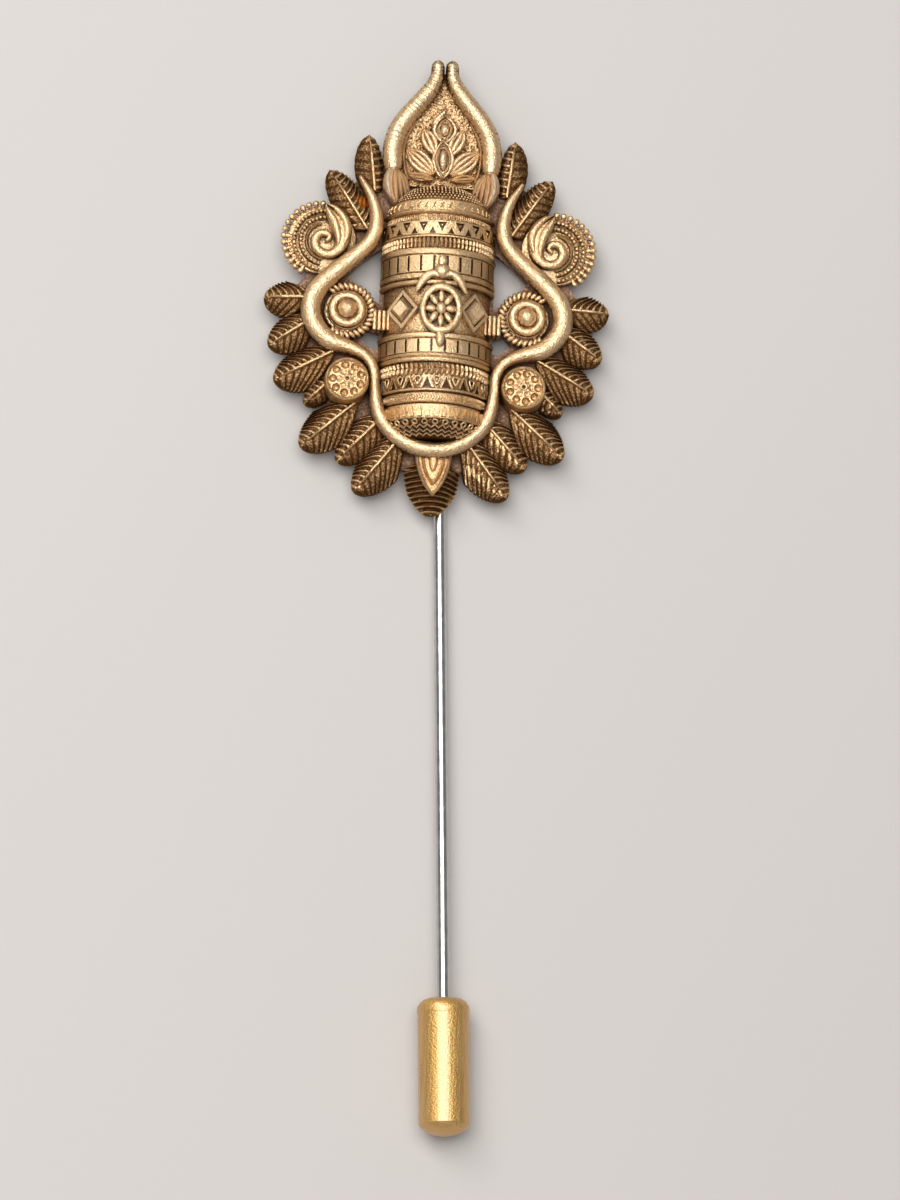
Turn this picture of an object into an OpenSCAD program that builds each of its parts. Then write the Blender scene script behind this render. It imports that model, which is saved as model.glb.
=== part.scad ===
// A stick pin for a lapel: an ornate cast head on a steel needle, with a push-on cap over the point.
// The pin lies on its back. The origin is on the flat back face of the boss, under the middle of the drum.
// +Y points to the tip of the crown, +Z to the front of the head. All sizes are in millimetres.

/* [Needle and cap] */
// Diameter of the needle
needle_d = 1.2; // [1.0:0.05:1.4]
// Length of needle that shows between the head and the cap
shown_len = 48.2; // [30:0.1:60]
// Length of needle inside the cap
grip_len = 9; // [6:0.5:10]
// Sideways lean of the needle from the middle line of the head, in degrees
needle_lean = 2.25; // [0:0.05:2.5]
// Rise of the needle from the surface towards the cap, in degrees
needle_rise = 1.7; // [1.7:0.05:2.2]
// Diameter of the cap's barrel
cap_d = 5; // [4.6:0.1:5.2]
// Length of the cap
cap_len = 13.4; // [12:0.1:16]
// Clearance between the needle and the wall of the cap's bore
bore_gap = 0.05; // [0.02:0.01:0.1]

/* [Plate and boss] */
// Thickness of the boss that the needle is soldered into
boss_t = 1.8; // [1.8:0.1:2.2]
// Width of the boss
boss_w = 10; // [8:0.5:11]
// Thickness of the wreath's back plate
plate_t = 0.8; // [0.6:0.1:1]
// Height of a leaf's dome over the plate
leaf_rise = 0.9; // [0.5:0.1:1.2]

/* [Drum] */
// Radius of the drum over its highest ridges
drum_r = 5.65; // [5.4:0.05:5.65]
// Number of slots that a whole turn of a slot band would have
slots_per_turn = 27; // [20:1:30]
// Depth of a slot
slot_depth = 0.35; // [0.2:0.05:0.5]

/* [Rail and crown] */
// Width of the rail
rail_w = 2.05; // [1.6:0.05:2.1]
// Height of the rail
rail_h = 2.1; // [1.6:0.1:2.4]
// Diameter of the crown's tubes at their feet
crown_d = 1.95; // [1.5:0.05:1.95]
// Thickness of the crown's panel
panel_t = 0.5; // [0.4:0.1:0.7]

/* [Ornaments] */
// Radius of a scroll over its beads
scroll_r = 4.15; // [3.8:0.05:4.2]
// Radius of an eye's roped rim
eye_r = 2.5; // [2.2:0.05:2.5]
// Radius of a rosette cup
rosette_r = 2.1; // [1.7:0.05:2.1]
// Height of a rosette cup over the plate
rosette_h = 2.8; // [2:0.1:3.2]

/* [Hidden] */
$fn = 48;

// Heights: the plate lies on the boss, and everything else stands on the plate
plate_z = boss_t;
top_z = plate_z + plate_t;
seat_gap = 0.05;
piece_gap = 0.1;
tiny = 0.01;

// The needle crosses the head's lower edge here
exit_at = [1.1, -20.2, 1.15];
socket_depth = 6;
socket_gap = 0.01;
boss_low = -14;
boss_high = 8;
needle_r = needle_d / 2;
point_len = 3;
inner_len = boss_low - exit_at[1] + socket_depth;

// The drum's bands: lower edge, upper edge, depth under the highest ridge
drum_z = plate_z;
drum_bands = [[-12.7, -12.1, 2.35], [-12.1, -11.2, 1.45], [-11.2, -9.65, 0.75], [-9.65, -8.5, 0.45],
              [-8.5, -8.25, 0.15], [-8.25, -6.85, 0.3], [-6.85, -5.5, 0.2], [-5.5, -4.7, 0.0],
              [-4.7, -3.15, 0.12], [-3.15, -2.5, 0.0], [-2.5, 2.25, 0.45], [2.25, 2.8, 0.0],
              [2.8, 2.95, 0.15], [2.95, 3.55, 0.0], [3.55, 5.35, 0.12], [5.35, 6.1, 0.0],
              [6.1, 7.15, 0.2], [7.15, 7.4, 0.0], [7.4, 8.9, 0.12], [8.9, 9.7, 0.4],
              [9.7, 10.05, 0.2], [10.05, 11.25, 0.7], [11.25, 11.9, 1.5], [11.9, 12.6, 2.2]];
slot_rows = [[-4.55, -3.3], [3.75, 5.15]];
slot_w = 0.28;
slot_reach = 80;
diamond_at = 40;
diamond_w = 1.5;
diamond_l = 1.85;

// The rail's middle line on the right: x, y, share of the full width
rail_right = [[8.05, 13.75, 0.25], [7.6, 13.0, 0.35], [7.0, 12.0, 0.5], [6.5, 10.6, 0.62],
              [6.32, 9.1, 0.74], [6.65, 7.7, 0.79], [7.65, 6.35, 0.83], [9.15, 4.95, 0.87],
              [10.7, 3.55, 0.93], [12.1, 1.9, 0.97], [12.6, 0.0, 1], [12.0, -1.75, 0.98],
              [10.54, -3.1, 0.92], [8.73, -3.66, 0.72], [7.0, -4.5, 0.62], [6.1, -5.95, 0.6],
              [5.95, -7.8, 0.63], [5.6, -9.8, 0.73], [4.85, -11.35, 0.77], [3.55, -12.6, 0.79],
              [1.9, -13.45, 0.8]];
rail_middle = [[0, -13.75, 0.8]];
rail_meets_drum = -6.5;
rail_z = top_z + seat_gap + rail_h / 2;

// A crown tube's middle line on the right, from foot to tip: x, y, share of the full thickness
crown_right = [[4.92, 15.25, 0.97], [4.97, 16.3, 1], [4.9, 17.4, 1], [4.55, 18.8, 1], [3.75, 20.25, 0.96],
               [2.75, 21.55, 0.93], [1.8, 22.75, 0.88], [1.1, 23.8, 0.79], [0.76, 24.8, 0.7],
               [0.72, 25.7, 0.67]];
crown_z = top_z + crown_d / 2;
crown_foot_x = 6.05;
panel_z = top_z + seat_gap;
panel_top = panel_z + panel_t;

// The panel's lower right edge, clear of the sepal, and its upper end
panel_foot = [[-0.2, 13.0], [3.2, 12.9], [3.45, 13.5], [3.75, 14.5], [4.2, 15.2]];
panel_tip = [-0.2, 24.2];

// Leaves on the right: foot x, foot y, tip x, tip y, half width to the left and to the right of the midrib
leaf_rows = [[6.85, 13.2, 7.3, 18.45, 1.4, 1.5], [7.4, 9.5, 11.15, 14.6, 1.8, 1.55],
             [13.2, 1.3, 17.2, 1.1, 1.65, 1.85], [12.9, -1.1, 16.5, -3.7, 1.6, 1.95],
             [10.5, -4.3, 15.85, -7.2, 1.8, 2.4], [11.0, -7.6, 12.7, -9.3, 1.2, 1.3],
             [8.3, -9.8, 12.95, -13.8, 2.05, 2.35], [5.6, -11.3, 9.3, -15.0, 1.7, 1.9],
             [3.6, -13.4, 7.5, -18.1, 1.8, 2.4]];
tail_leaf = [0.05, -14.7, 0.2, -20.15, 2.95, 2.95];
leaf_steps = 9;
leaf_base_t = 0.55;

// Places of the ornaments on the right
scroll_at = [11.7, 7.32];
spiral_at = [11.16, 7.1];
scroll_cut = 15.8;
scroll_beads = 17;
scroll_from = 82;
scroll_to = -52;
eye_at = [8.95, 0.13];
rosette_at = [8.75, -7.3];
sepal_at = [4.75, 13.5];
sepal_len = 3.1;

// An eye's roped rim and its lug, measured from the ball
eye_rim_at = [-0.4, 0];
eye_lug = [1.6, 2.0, 1.3];
eye_lug_at = [-3.6, -2.4];

// The plate under the wreath, right half, from the bottom to the crown
plate_half = [[0, -16.5], [3.2, -15.5], [6, -13.6], [8.6, -11.4], [10.8, -8.8], [12.2, -6],
              [13.5, -3.2], [14.1, 0], [14, 2.6], [13, 4], [9.6, 10.8], [8.6, 13.4], [7, 15.6],
              [5.4, 16.4], [0, 16.4]];
upper_gap = [[5.9, 6.9], [7.3, 5.6], [8.95, 4.0], [8.2, 3.1], [7.3, 2.45], [6.5, 1.6], [5.9, 1.2]];
lower_gap = [[5.9, -1.9], [6.8, -1.6], [7.5, -2.4], [7.0, -3.0], [6.2, -3.5], [5.9, -3.4]];

// A point of a smooth curve through the rows p, at the share t of the stretch from row i to the next
function row_at(p, i) = p[max(0, min(len(p) - 1, i))];
function smooth(p, i, t) =
    let (a = row_at(p, i - 1), b = row_at(p, i), c = row_at(p, i + 1), d = row_at(p, i + 2))
    0.5 * ((2 * b) + (c - a) * t + (2 * a - 5 * b + 4 * c - d) * t * t
           + (3 * b - a - 3 * c + d) * t * t * t);
function smooth_rows(p, steps) =
    concat([for (i = [0:len(p) - 2]) for (k = [0:steps - 1]) smooth(p, i, k / steps)],
           [p[len(p) - 1]]);

// Direction of a path in plan at the row i, and the direction square to it
function heading(p, i) =
    let (a = row_at(p, i - 1), b = row_at(p, i + 1), v = [b[0] - a[0], b[1] - a[1]]) v / norm(v);
function square_to(v) = [-v[1], v[0]];

// The corners of one ring of a tube, whose height shrinks less than its width
function ring(p, i, half_w, half_h, sides) =
    let (side = square_to(heading(p, i)), share = p[i][2])
    [for (k = [0:sides - 1])
        let (a = 360 * k / sides)
        [p[i][0] + side[0] * half_w * share * cos(a),
         p[i][1] + side[1] * half_w * share * cos(a),
         half_h * sqrt(share) * sin(a)]];

// A flat-lying tube along the rows of a path, whose third column is the share of its thickness
module tube(path, half_w, half_h, sides = 10) {
    last = len(path) - 1;
    points = [for (i = [0:last]) each ring(path, i, half_w, half_h, sides)];
    walls = [for (i = [0:last - 1]) for (k = [0:sides - 1])
        [i * sides + k, (i + 1) * sides + k, (i + 1) * sides + (k + 1) % sides,
         i * sides + (k + 1) % sides]];
    first_end = [for (k = [0:sides - 1]) k];
    last_end = [for (k = [sides - 1:-1:0]) last * sides + k];
    polyhedron(points, concat([first_end], walls, [last_end]), convexity = 8);
}

// Puts its children on the needle's axis, with +Z towards the cap and zero at the head's lower edge
module on_needle() {
    translate(exit_at) rotate([90 - needle_rise, 0, needle_lean]) children();
}

// Both sides of a shape that is drawn on the right
module both_sides() {
    children();
    mirror([1, 0, 0]) children();
}

// A pointed oval, the overlap of two circles, with its length along Y
module pointed_oval(length, width) {
    r = (length * length + width * width) / (4 * width);
    intersection() {
        translate([r - width / 2, 0]) circle(r);
        translate([width / 2 - r, 0]) circle(r);
    }
}

// The boss: a flat bar with a round upper end, drilled for the needle
module back_boss() {
    end_r = boss_w / 2;
    color("darkgoldenrod") difference() {
        union() {
            translate([-end_r, boss_low, 0]) cube([boss_w, boss_high - end_r - boss_low, boss_t]);
            translate([0, boss_high - end_r, 0]) cylinder(r = end_r, h = boss_t);
        }
        on_needle() translate([0, 0, -inner_len]) cylinder(r = needle_r + socket_gap, h = inner_len);
    }
}

// Half the width of a leaf of half width 1, at the share t of the way from foot to tip
function leaf_half(t) = pow(sin(180 * pow(0.15 + 0.85 * t, 1.1)), 0.55);

// The outline of a leaf that points along +X, with its half widths to the left and to the right
module leaf_outline(length, left_w, right_w) {
    left = [for (i = [0:leaf_steps]) [i / leaf_steps * length, left_w * leaf_half(i / leaf_steps)]];
    right = [for (i = [leaf_steps:-1:0]) [left[i][0], -left[i][1] * right_w / left_w]];
    polygon(concat(left, right));
}

// One domed leaf with a ridge along its middle
module leaf(row) {
    run = [row[2] - row[0], row[3] - row[1]];
    length = norm(run);
    left_w = row[4];
    right_w = row[5];
    translate([row[0], row[1], top_z - leaf_base_t]) rotate([0, 0, atan2(run[1], run[0])]) hull() {
        linear_extrude(leaf_base_t) leaf_outline(length, left_w, right_w);
        translate([0, 0, leaf_base_t + leaf_rise * 0.7])
            linear_extrude(tiny) leaf_outline(length * 0.95, left_w * 0.72, right_w * 0.72);
        translate([0, 0, leaf_base_t + leaf_rise])
            linear_extrude(tiny) leaf_outline(length * 0.85, left_w * 0.25, right_w * 0.25);
    }
}

// The plate, pierced beside the drum
module wreath_plate() {
    translate([0, 0, plate_z]) linear_extrude(plate_t) difference() {
        both_sides() {
            polygon(plate_half);
            translate(scroll_at) circle(scroll_r - 0.75);
        }
        both_sides() {
            polygon(upper_gap);
            polygon(lower_gap);
        }
    }
}

// The room that the other pieces take above the plate
module wreath_clearance() {
    high = 4;
    translate([0, 0, rail_z]) tube(rail_path(), rail_w / 2 + piece_gap, rail_h / 2 + 0.02);
    both_sides() translate([0, 0, top_z]) {
        translate(scroll_at) cylinder(r = scroll_r + piece_gap, h = high);
        translate(rosette_at) cylinder(r = rosette_r + piece_gap, h = high);
        translate([-tiny, 12, 0]) cube([crown_foot_x, 6.6, high]);
    }
}

// The pierced plate with its leaves, one casting
module leaf_wreath() {
    color("darkgoldenrod") {
        wreath_plate();
        difference() {
            union() {
                both_sides() for (row = leaf_rows) leaf(row);
                leaf(tail_leaf);
                tail_shield();
            }
            wreath_clearance();
        }
    }
}

// The stepped drop on the bottom leaf, the lower half of three pointed ovals
module tail_shield() {
    for (step = [0:2]) {
        wide = 3.5 - step * 1.1;
        long = 7.4 - step * 2;
        high = 0.75 + step * 0.2;
        translate([0.15, tail_leaf[1], top_z + 0.3]) intersection() {
            linear_extrude(high) pointed_oval(long, wide);
            translate([-wide, -long, 0]) cube([2 * wide, long, high]);
        }
    }
}

// The line that runs beside a tube, to the left of its heading
function inner_edge(p, half_w, gap) =
    [for (i = [0:len(p) - 1])
        let (side = square_to(heading(p, i)), clear = half_w * p[i][2] + gap)
        [p[i][0] + side[0] * clear, p[i][1] + side[1] * clear]];

// The drum's room in plan, clear of the rail that runs round its lower end
module drum_room() {
    wide = drum_r + 0.15;
    low_rail = [for (row = rail_path()) if (row[1] < rail_meets_drum) row];
    edge = inner_edge(low_rail, rail_w / 2, piece_gap);
    polygon(concat([[wide, -5], [wide, 13], [-wide, 13], [-wide, -5]], edge));
}

// The half barrel with its bands, slots and two raised diamonds
module drum() {
    outline = [for (band = drum_bands) each [[drum_r - band[2], band[0]], [drum_r - band[2], band[1]]]];
    first_y = drum_bands[0][0];
    last_y = drum_bands[len(drum_bands) - 1][1];
    color("goldenrod") intersection() {
        translate([0, 0, drum_z]) rotate([-90, 0, 0]) {
            difference() {
                rotate_extrude() polygon(concat([[0, first_y]], outline, [[0, last_y]]));
                for (row = slot_rows) drum_slots(row);
            }
            for (side = [-1, 1]) rotate([0, 0, -90 + side * diamond_at])
                translate([drum_r - 0.75, 0, -0.1]) rotate([0, 90, 0]) linear_extrude(0.7)
                polygon([[-diamond_l, 0], [0, diamond_w], [diamond_l, 0], [0, -diamond_w]]);
        }
        translate([0, 0, top_z + seat_gap]) linear_extrude(drum_r + 1) drum_room();
    }
}

// A row of slots round the drum, drawn with the drum's axis along Z
module drum_slots(row) {
    pitch = 360 / slots_per_turn;
    turns = floor(slot_reach / pitch);
    for (i = [-turns:turns]) {
        rotate([0, 0, -90 + (i + 0.5) * pitch])
            translate([drum_r - 0.12 - slot_depth, -slot_w / 2, row[0]])
            cube([slot_depth + 1, slot_w, row[1] - row[0]]);
    }
}

// The whole path of the rail, from the left hook round to the right one
function rail_path() = smooth_rows(concat(mirrored_down(rail_right), rail_middle, turned(rail_right)), 3);
function turned(rows) = [for (i = [len(rows) - 1:-1:0]) rows[i]];
function mirrored_down(rows) = [for (row = rows) [-row[0], row[1], row[2]]];

// The smooth tube round the drum
module rail() {
    color("gold") translate([0, 0, rail_z]) tube(rail_path(), rail_w / 2, rail_h / 2);
}

// The two tubes of the crown and the panel between them
module crown_arch() {
    path = smooth_rows(crown_right, 3);
    tube_r = crown_d / 2 - 0.02;
    tip = crown_right[len(crown_right) - 1];
    tip_r = tube_r * tip[2] * 0.95;
    in_tube = [for (row = crown_right) [row[0] - 0.1, row[1]]];
    color("goldenrod") {
        both_sides() translate([0, 0, crown_z]) {
            tube(path, tube_r, tube_r, 12);
            translate([tip[0], tip[1], 0]) sphere(r = tip_r);
        }
        translate([0, 0, panel_z]) linear_extrude(panel_t) both_sides()
            polygon(concat(panel_foot, in_tube, [panel_tip]));
    }
}

// One raised petal, with its foot at the origin and its tip along +Y
module petal(length, width, height) {
    translate([0, length / 2, 0]) {
        linear_extrude(height) pointed_oval(length, width);
        linear_extrude(height + 0.2) pointed_oval(length * 0.8, width * 0.45);
    }
}

// The lotus: a pointed oval in a border, a drop over it and three pairs of petals
module lotus() {
    foot = [0.05, 14.4, panel_top + seat_gap];
    color("goldenrod") translate(foot) {
        translate([0, 1.7, 0]) {
            linear_extrude(0.75) pointed_oval(4.0, 2.1);
            linear_extrude(1.1) pointed_oval(3.0, 1.3);
        }
        translate([0, 4.85, 0]) {
            linear_extrude(0.6) pointed_oval(2.9, 2.3);
            linear_extrude(1.0) pointed_oval(1.8, 1.3);
        }
        both_sides() {
            translate([0.6, 1.2, 0]) rotate([0, 0, -32]) petal(3.7, 1.3, 0.45);
            translate([0.5, 0.4, 0]) rotate([0, 0, -58]) petal(3.8, 1.4, 0.4);
            translate([0.5, 0.0, 0]) rotate([0, 0, -82]) petal(2.9, 0.9, 0.3);
        }
    }
}

// Radius and thickness share of the scroll's spiral ridge at the angle a, from its tip inwards
function spiral_r(a) = a < 100 ? 1.75 + 2.15 * pow(1 - a / 100, 1.6) : 1.75 - 0.0035 * (a - 100);
function spiral_w(a) = a < 90 ? 0.3 + 0.7 * sin(a) : 1 - 0.65 * (a - 90) / 350;

// A scroll on the right: a stepped disc, beads round its outer edge and a spiral ridge
module scroll() {
    disc_r = scroll_r - 0.65;
    room = 30;
    spiral = [for (a = [0:20:440])
        [spiral_at[0] + spiral_r(a) * cos(80 + a), spiral_at[1] + spiral_r(a) * sin(80 + a), spiral_w(a)]];
    difference() {
        translate([0, 0, top_z + seat_gap]) {
            translate(scroll_at) {
                cylinder(r = disc_r, h = 0.6);
                cylinder(r = disc_r - 0.5, h = 0.8);
                cylinder(r = disc_r - 1.0, h = 1.0);
                for (i = [0:scroll_beads - 1]) {
                    a = scroll_from + (scroll_to - scroll_from) * i / (scroll_beads - 1);
                    rotate([0, 0, a]) translate([disc_r + 0.28, 0, 0]) cylinder(r = 0.34, h = 0.5);
                }
            }
            translate([0, 0, 0.95]) tube(spiral, 0.7, 0.75, 8);
        }
        translate([scroll_cut / 2, scroll_cut / 2, 0]) rotate([0, 0, 45])
            translate([-room, -room / 2, 0]) cube([room, room, room]);
        cube([room, room, top_z + seat_gap]);
    }
}

module scroll_right() {
    color("goldenrod") scroll();
}

module scroll_left() {
    color("goldenrod") mirror([1, 0, 0]) scroll();
}

// An eye on the right: a roped rim, a smooth ring, a ball and the lug to the drum
module eye() {
    rim_h = 1.1;
    seat_h = 1.4;
    ring_r = 1.45;
    ring_wire = 0.42;
    ball_r = 1.05;
    translate([eye_at[0], eye_at[1], top_z + seat_gap]) {
        translate(eye_rim_at) cylinder(r = eye_r, h = rim_h);
        cylinder(r = eye_r * 0.8, h = seat_h);
        translate([0, 0, seat_h]) rotate_extrude() translate([ring_r, 0]) circle(r = ring_wire);
        translate([0, 0, seat_h - 0.1]) sphere(r = ball_r);
        translate(eye_lug_at) cube(eye_lug);
    }
}

module eye_right() {
    color("gold") eye();
}

module eye_left() {
    color("gold") mirror([1, 0, 0]) eye();
}

// A rosette cup on the right: a raised rim, a dished face and seven knobs
module rosette() {
    rim_w = 0.3;
    dish = 0.45;
    knob_ring = rosette_r * 0.5;
    knob_r = 0.34;
    translate([rosette_at[0], rosette_at[1], top_z + seat_gap]) {
        difference() {
            cylinder(r = rosette_r, h = rosette_h);
            translate([0, 0, rosette_h - dish]) cylinder(r = rosette_r - rim_w, h = 1);
        }
        translate([0, 0, rosette_h - dish - 0.05]) {
            cylinder(r = knob_r + 0.08, h = 0.4);
            for (i = [0:5]) rotate([0, 0, 60 * i])
                translate([knob_ring, 0, 0]) cylinder(r = knob_r, h = 0.35);
        }
    }
}

module rosette_right() {
    color("goldenrod") rosette();
}

module rosette_left() {
    color("goldenrod") mirror([1, 0, 0]) rosette();
}

// A ribbed bud on the right, three pointed lobes side by side
module sepal() {
    middle_h = 1.2;
    side_h = 0.95;
    lean = 6;
    translate([sepal_at[0], sepal_at[1], top_z + seat_gap]) {
        linear_extrude(middle_h) pointed_oval(sepal_len, 1.2);
        both_sides() translate([0.5, 0, 0]) rotate([0, 0, lean])
            linear_extrude(side_h) pointed_oval(sepal_len * 0.92, 1.1);
    }
}

module sepal_right() {
    color("goldenrod") sepal();
}

module sepal_left() {
    color("goldenrod") mirror([1, 0, 0]) sepal();
}

// The ornament on the drum's front: a ring with eight petals, and a bead and a drop in line with it
module emblem() {
    inner = drum_r + 0.07;
    outer = drum_r + 0.6;
    long = 10;
    ring_r = 2.1;
    ring_w = 0.45;
    color("gold") intersection() {
        translate([0, long / 2, drum_z]) rotate([90, 0, 0]) difference() {
            cylinder(r = outer, h = long);
            translate([0, 0, -1]) cylinder(r = inner, h = long + 2);
        }
        translate([0.15, -0.1, drum_z]) linear_extrude(drum_r + 2) {
            difference() {
                circle(r = ring_r);
                circle(r = ring_r - ring_w);
            }
            for (i = [0:7]) rotate([0, 0, 45 * i]) translate([0, 0.95]) pointed_oval(1.7, 0.72);
            circle(r = 0.5);
            translate([0, 2.75]) circle(r = 0.8);
            translate([0, -3.0]) pointed_oval(2.6, 1.2);
        }
    }
}

// The needle, with its point inside the cap
module needle() {
    body_len = inner_len + shown_len + grip_len - point_len;
    point_r = 0.08;
    color("silver") on_needle() translate([0, 0, -inner_len]) {
        cylinder(r = needle_r, h = body_len);
        translate([0, 0, body_len]) cylinder(r1 = needle_r, r2 = point_r, h = point_len);
    }
}

// The cap: a rounded mouth with a slight flare, a straight barrel and a low dome
module cap() {
    cap_r = cap_d / 2;
    mouth_r = cap_r + 0.09;
    mouth_round = 1.15;
    mouth_in = 0.75;
    dome_h = 1.45;
    dome_at = cap_len - dome_h;
    dome_r = cap_r - 0.06;
    point_room = 0.5;
    mouth = [for (a = [0:15:90]) [mouth_r - mouth_in * (1 - sin(a)), mouth_round * (1 - cos(a))]];
    dome = [for (a = [0:15:90]) [dome_r * cos(a), dome_at + dome_h * sin(a)]];
    color("gold") on_needle() translate([0, 0, shown_len]) difference() {
        rotate_extrude() polygon(concat([[0, 0]], mouth, [[cap_r, mouth_round + 0.5],
            [cap_r, dome_at - 0.2], [dome_r, dome_at]], dome));
        translate([0, 0, -1]) cylinder(r = needle_r + bore_gap, h = 1 + grip_len + point_room);
    }
}

back_boss();
leaf_wreath();
drum();
rail();
crown_arch();
lotus();
scroll_left();
scroll_right();
eye_left();
eye_right();
rosette_left();
rosette_right();
sepal_left();
sepal_right();
emblem();
needle();
cap();
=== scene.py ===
import math
from contextlib import contextmanager

import bmesh
import bpy
from mathutils import Matrix, Vector, noise


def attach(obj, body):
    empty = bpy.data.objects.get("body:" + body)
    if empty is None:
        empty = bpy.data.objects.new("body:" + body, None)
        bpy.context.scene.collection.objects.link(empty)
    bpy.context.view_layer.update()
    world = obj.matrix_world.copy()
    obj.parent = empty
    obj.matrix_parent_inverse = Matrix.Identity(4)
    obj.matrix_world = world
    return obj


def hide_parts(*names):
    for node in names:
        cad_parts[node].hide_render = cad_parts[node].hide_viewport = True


bl_info = {
    "name": "Lapel pin dresser",
    "version": (1, 0, 0),
    "blender": (4, 5, 0),
    "location": "3D View > Sidebar > Lapel pin",
    "description": "Models and finishes a brass stick pin around its packed frame",
    "category": "Add Mesh",
}

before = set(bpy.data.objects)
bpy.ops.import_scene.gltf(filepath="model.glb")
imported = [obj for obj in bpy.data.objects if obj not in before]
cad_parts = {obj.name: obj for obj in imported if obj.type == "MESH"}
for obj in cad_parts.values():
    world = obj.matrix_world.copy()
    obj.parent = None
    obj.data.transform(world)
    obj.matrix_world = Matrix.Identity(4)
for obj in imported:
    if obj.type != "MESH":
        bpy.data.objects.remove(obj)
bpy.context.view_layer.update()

# Everything is modelled in millimetres and brought to metres at the end
METRES = 0.001
HEAD, CAP = "head", "cap"

# Heights that the frame gives: the plate's top, the gap over it, and the drum's axis
PLATE_TOP = 2.6
PLATE_LOW = 1.8
SEAT = 2.65
DRUM_AXIS = (0, 0, 1.8)
RAIL_Z = 3.70
CROWN_Z = 3.575
PANEL_TOP = 3.15

# The needle crosses the head's lower edge here, leans sideways and rises towards the cap
NEEDLE_START = (1.1, -20.2, 1.15)
NEEDLE_LEAN = 2.25
NEEDLE_RISE = 1.7
NEEDLE_SHOWN = 48.2


# ---- Sizes and colours that a user may change


class PinSizes(bpy.types.PropertyGroup):
    rail_width: bpy.props.FloatProperty(
        name="Rail width", description="Width of the smooth tube round the drum", default=0.00205, unit="LENGTH")
    rail_height: bpy.props.FloatProperty(
        name="Rail height", description="Height of the smooth tube round the drum", default=0.0021, unit="LENGTH")
    crown_tube: bpy.props.FloatProperty(
        name="Crown tube", description="Diameter of the two tubes of the crown", default=0.0020, unit="LENGTH")
    rib_pitch: bpy.props.FloatProperty(
        name="Rib pitch", description="Distance between two ribs of a leaf", default=0.0007, unit="LENGTH")
    rib_depth: bpy.props.FloatProperty(
        name="Rib depth", description="Depth of the grooves between a leaf's ribs", default=0.00025, unit="LENGTH")
    leaf_rise: bpy.props.FloatProperty(
        name="Leaf rise", description="Height of a leaf's dome over the plate", default=0.0009, unit="LENGTH")
    scroll_bead: bpy.props.FloatProperty(
        name="Scroll bead", description="Radius of a bead on a scroll's rim", default=0.00034, unit="LENGTH")
    cap_width: bpy.props.FloatProperty(
        name="Cap width", description="Diameter of the cap's barrel", default=0.005, unit="LENGTH")
    cap_length: bpy.props.FloatProperty(
        name="Cap length", description="Length of the cap", default=0.0134, unit="LENGTH")


class PinColours(bpy.types.PropertyGroup):
    brass: bpy.props.FloatVectorProperty(
        name="Brass", description="Rubbed brass on the high places", subtype="COLOR", size=4, min=0, max=1,
        default=(0.82, 0.565, 0.30, 1))
    old_brass: bpy.props.FloatVectorProperty(
        name="Old brass", description="Darkened brass between the high and low places", subtype="COLOR", size=4,
        min=0, max=1, default=(0.40, 0.235, 0.105, 1))
    patina: bpy.props.FloatVectorProperty(
        name="Patina", description="Brown patina in the hollows", subtype="COLOR", size=4, min=0, max=1,
        default=(0.085, 0.036, 0.012, 1))
    steel: bpy.props.FloatVectorProperty(
        name="Steel", description="Polished steel of the needle", subtype="COLOR", size=4, min=0, max=1,
        default=(0.64, 0.62, 0.60, 1))
    gold: bpy.props.FloatVectorProperty(
        name="Cap gold", description="Satin gold of the cap", subtype="COLOR", size=4, min=0, max=1,
        default=(0.76, 0.465, 0.135, 1))
    ground: bpy.props.FloatVectorProperty(
        name="Ground", description="Pinkish brown of the rough ground between the ornaments", subtype="COLOR", size=4,
        min=0, max=1, default=(0.30, 0.18, 0.12, 1))
    rust: bpy.props.FloatVectorProperty(
        name="Rust", description="The ochre speck beside the left hook", subtype="COLOR", size=4, min=0, max=1,
        default=(0.62, 0.25, 0.03, 1))
    floor: bpy.props.FloatVectorProperty(
        name="Floor", description="The pale surface that the pin lies on", subtype="COLOR", size=4, min=0, max=1,
        default=(0.55, 0.525, 0.499, 1))


# ---- Modelling by hand: every helper works through Blender's own operators


def size(name):
    """A size that a user may change, in millimetres."""
    return getattr(bpy.context.scene.pin_sizes, name) / METRES


def deselect():
    """Leaves edit mode and deselects every object."""
    if bpy.context.mode != "OBJECT":
        bpy.ops.object.mode_set(mode="OBJECT")
    bpy.ops.object.select_all(action="DESELECT")


def focus(*pieces):
    """Selects only these objects; the first one is the active one."""
    deselect()
    for piece in pieces:
        piece.select_set(True)
    bpy.context.view_layer.objects.active = pieces[0]


@contextmanager
def editing(piece):
    """Edit mode on one mesh, with nothing selected at first."""
    focus(piece)
    bpy.ops.object.mode_set(mode="EDIT")
    bpy.ops.mesh.select_mode(type="VERT")
    bpy.ops.mesh.select_all(action="DESELECT")
    yield
    bpy.ops.object.mode_set(mode="OBJECT")


def pick(piece, test, kind="VERT"):
    """Selects the vertices, edges or faces that pass the test, and nothing else."""
    bpy.ops.mesh.select_mode(type=kind)
    bpy.ops.mesh.select_all(action="DESELECT")
    shape = bmesh.from_edit_mesh(piece.data)
    for part in {"VERT": shape.verts, "EDGE": shape.edges, "FACE": shape.faces}[kind]:
        if test(part):
            part.select = True
    shape.select_flush_mode()
    bmesh.update_edit_mesh(piece.data, loop_triangles=False, destructive=False)


def pick_all():
    bpy.ops.mesh.select_all(action="SELECT")


@contextmanager
def whole(piece):
    """Edit mode on one mesh, with all of it selected."""
    with editing(piece):
        pick_all()
        yield


def move(x=0.0, y=0.0, z=0.0):
    bpy.ops.transform.translate(value=(x, y, z))


def resize(x=1.0, y=1.0, z=1.0, about=(0, 0, 0)):
    bpy.ops.transform.resize(value=(x, y, z), center_override=about)


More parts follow.
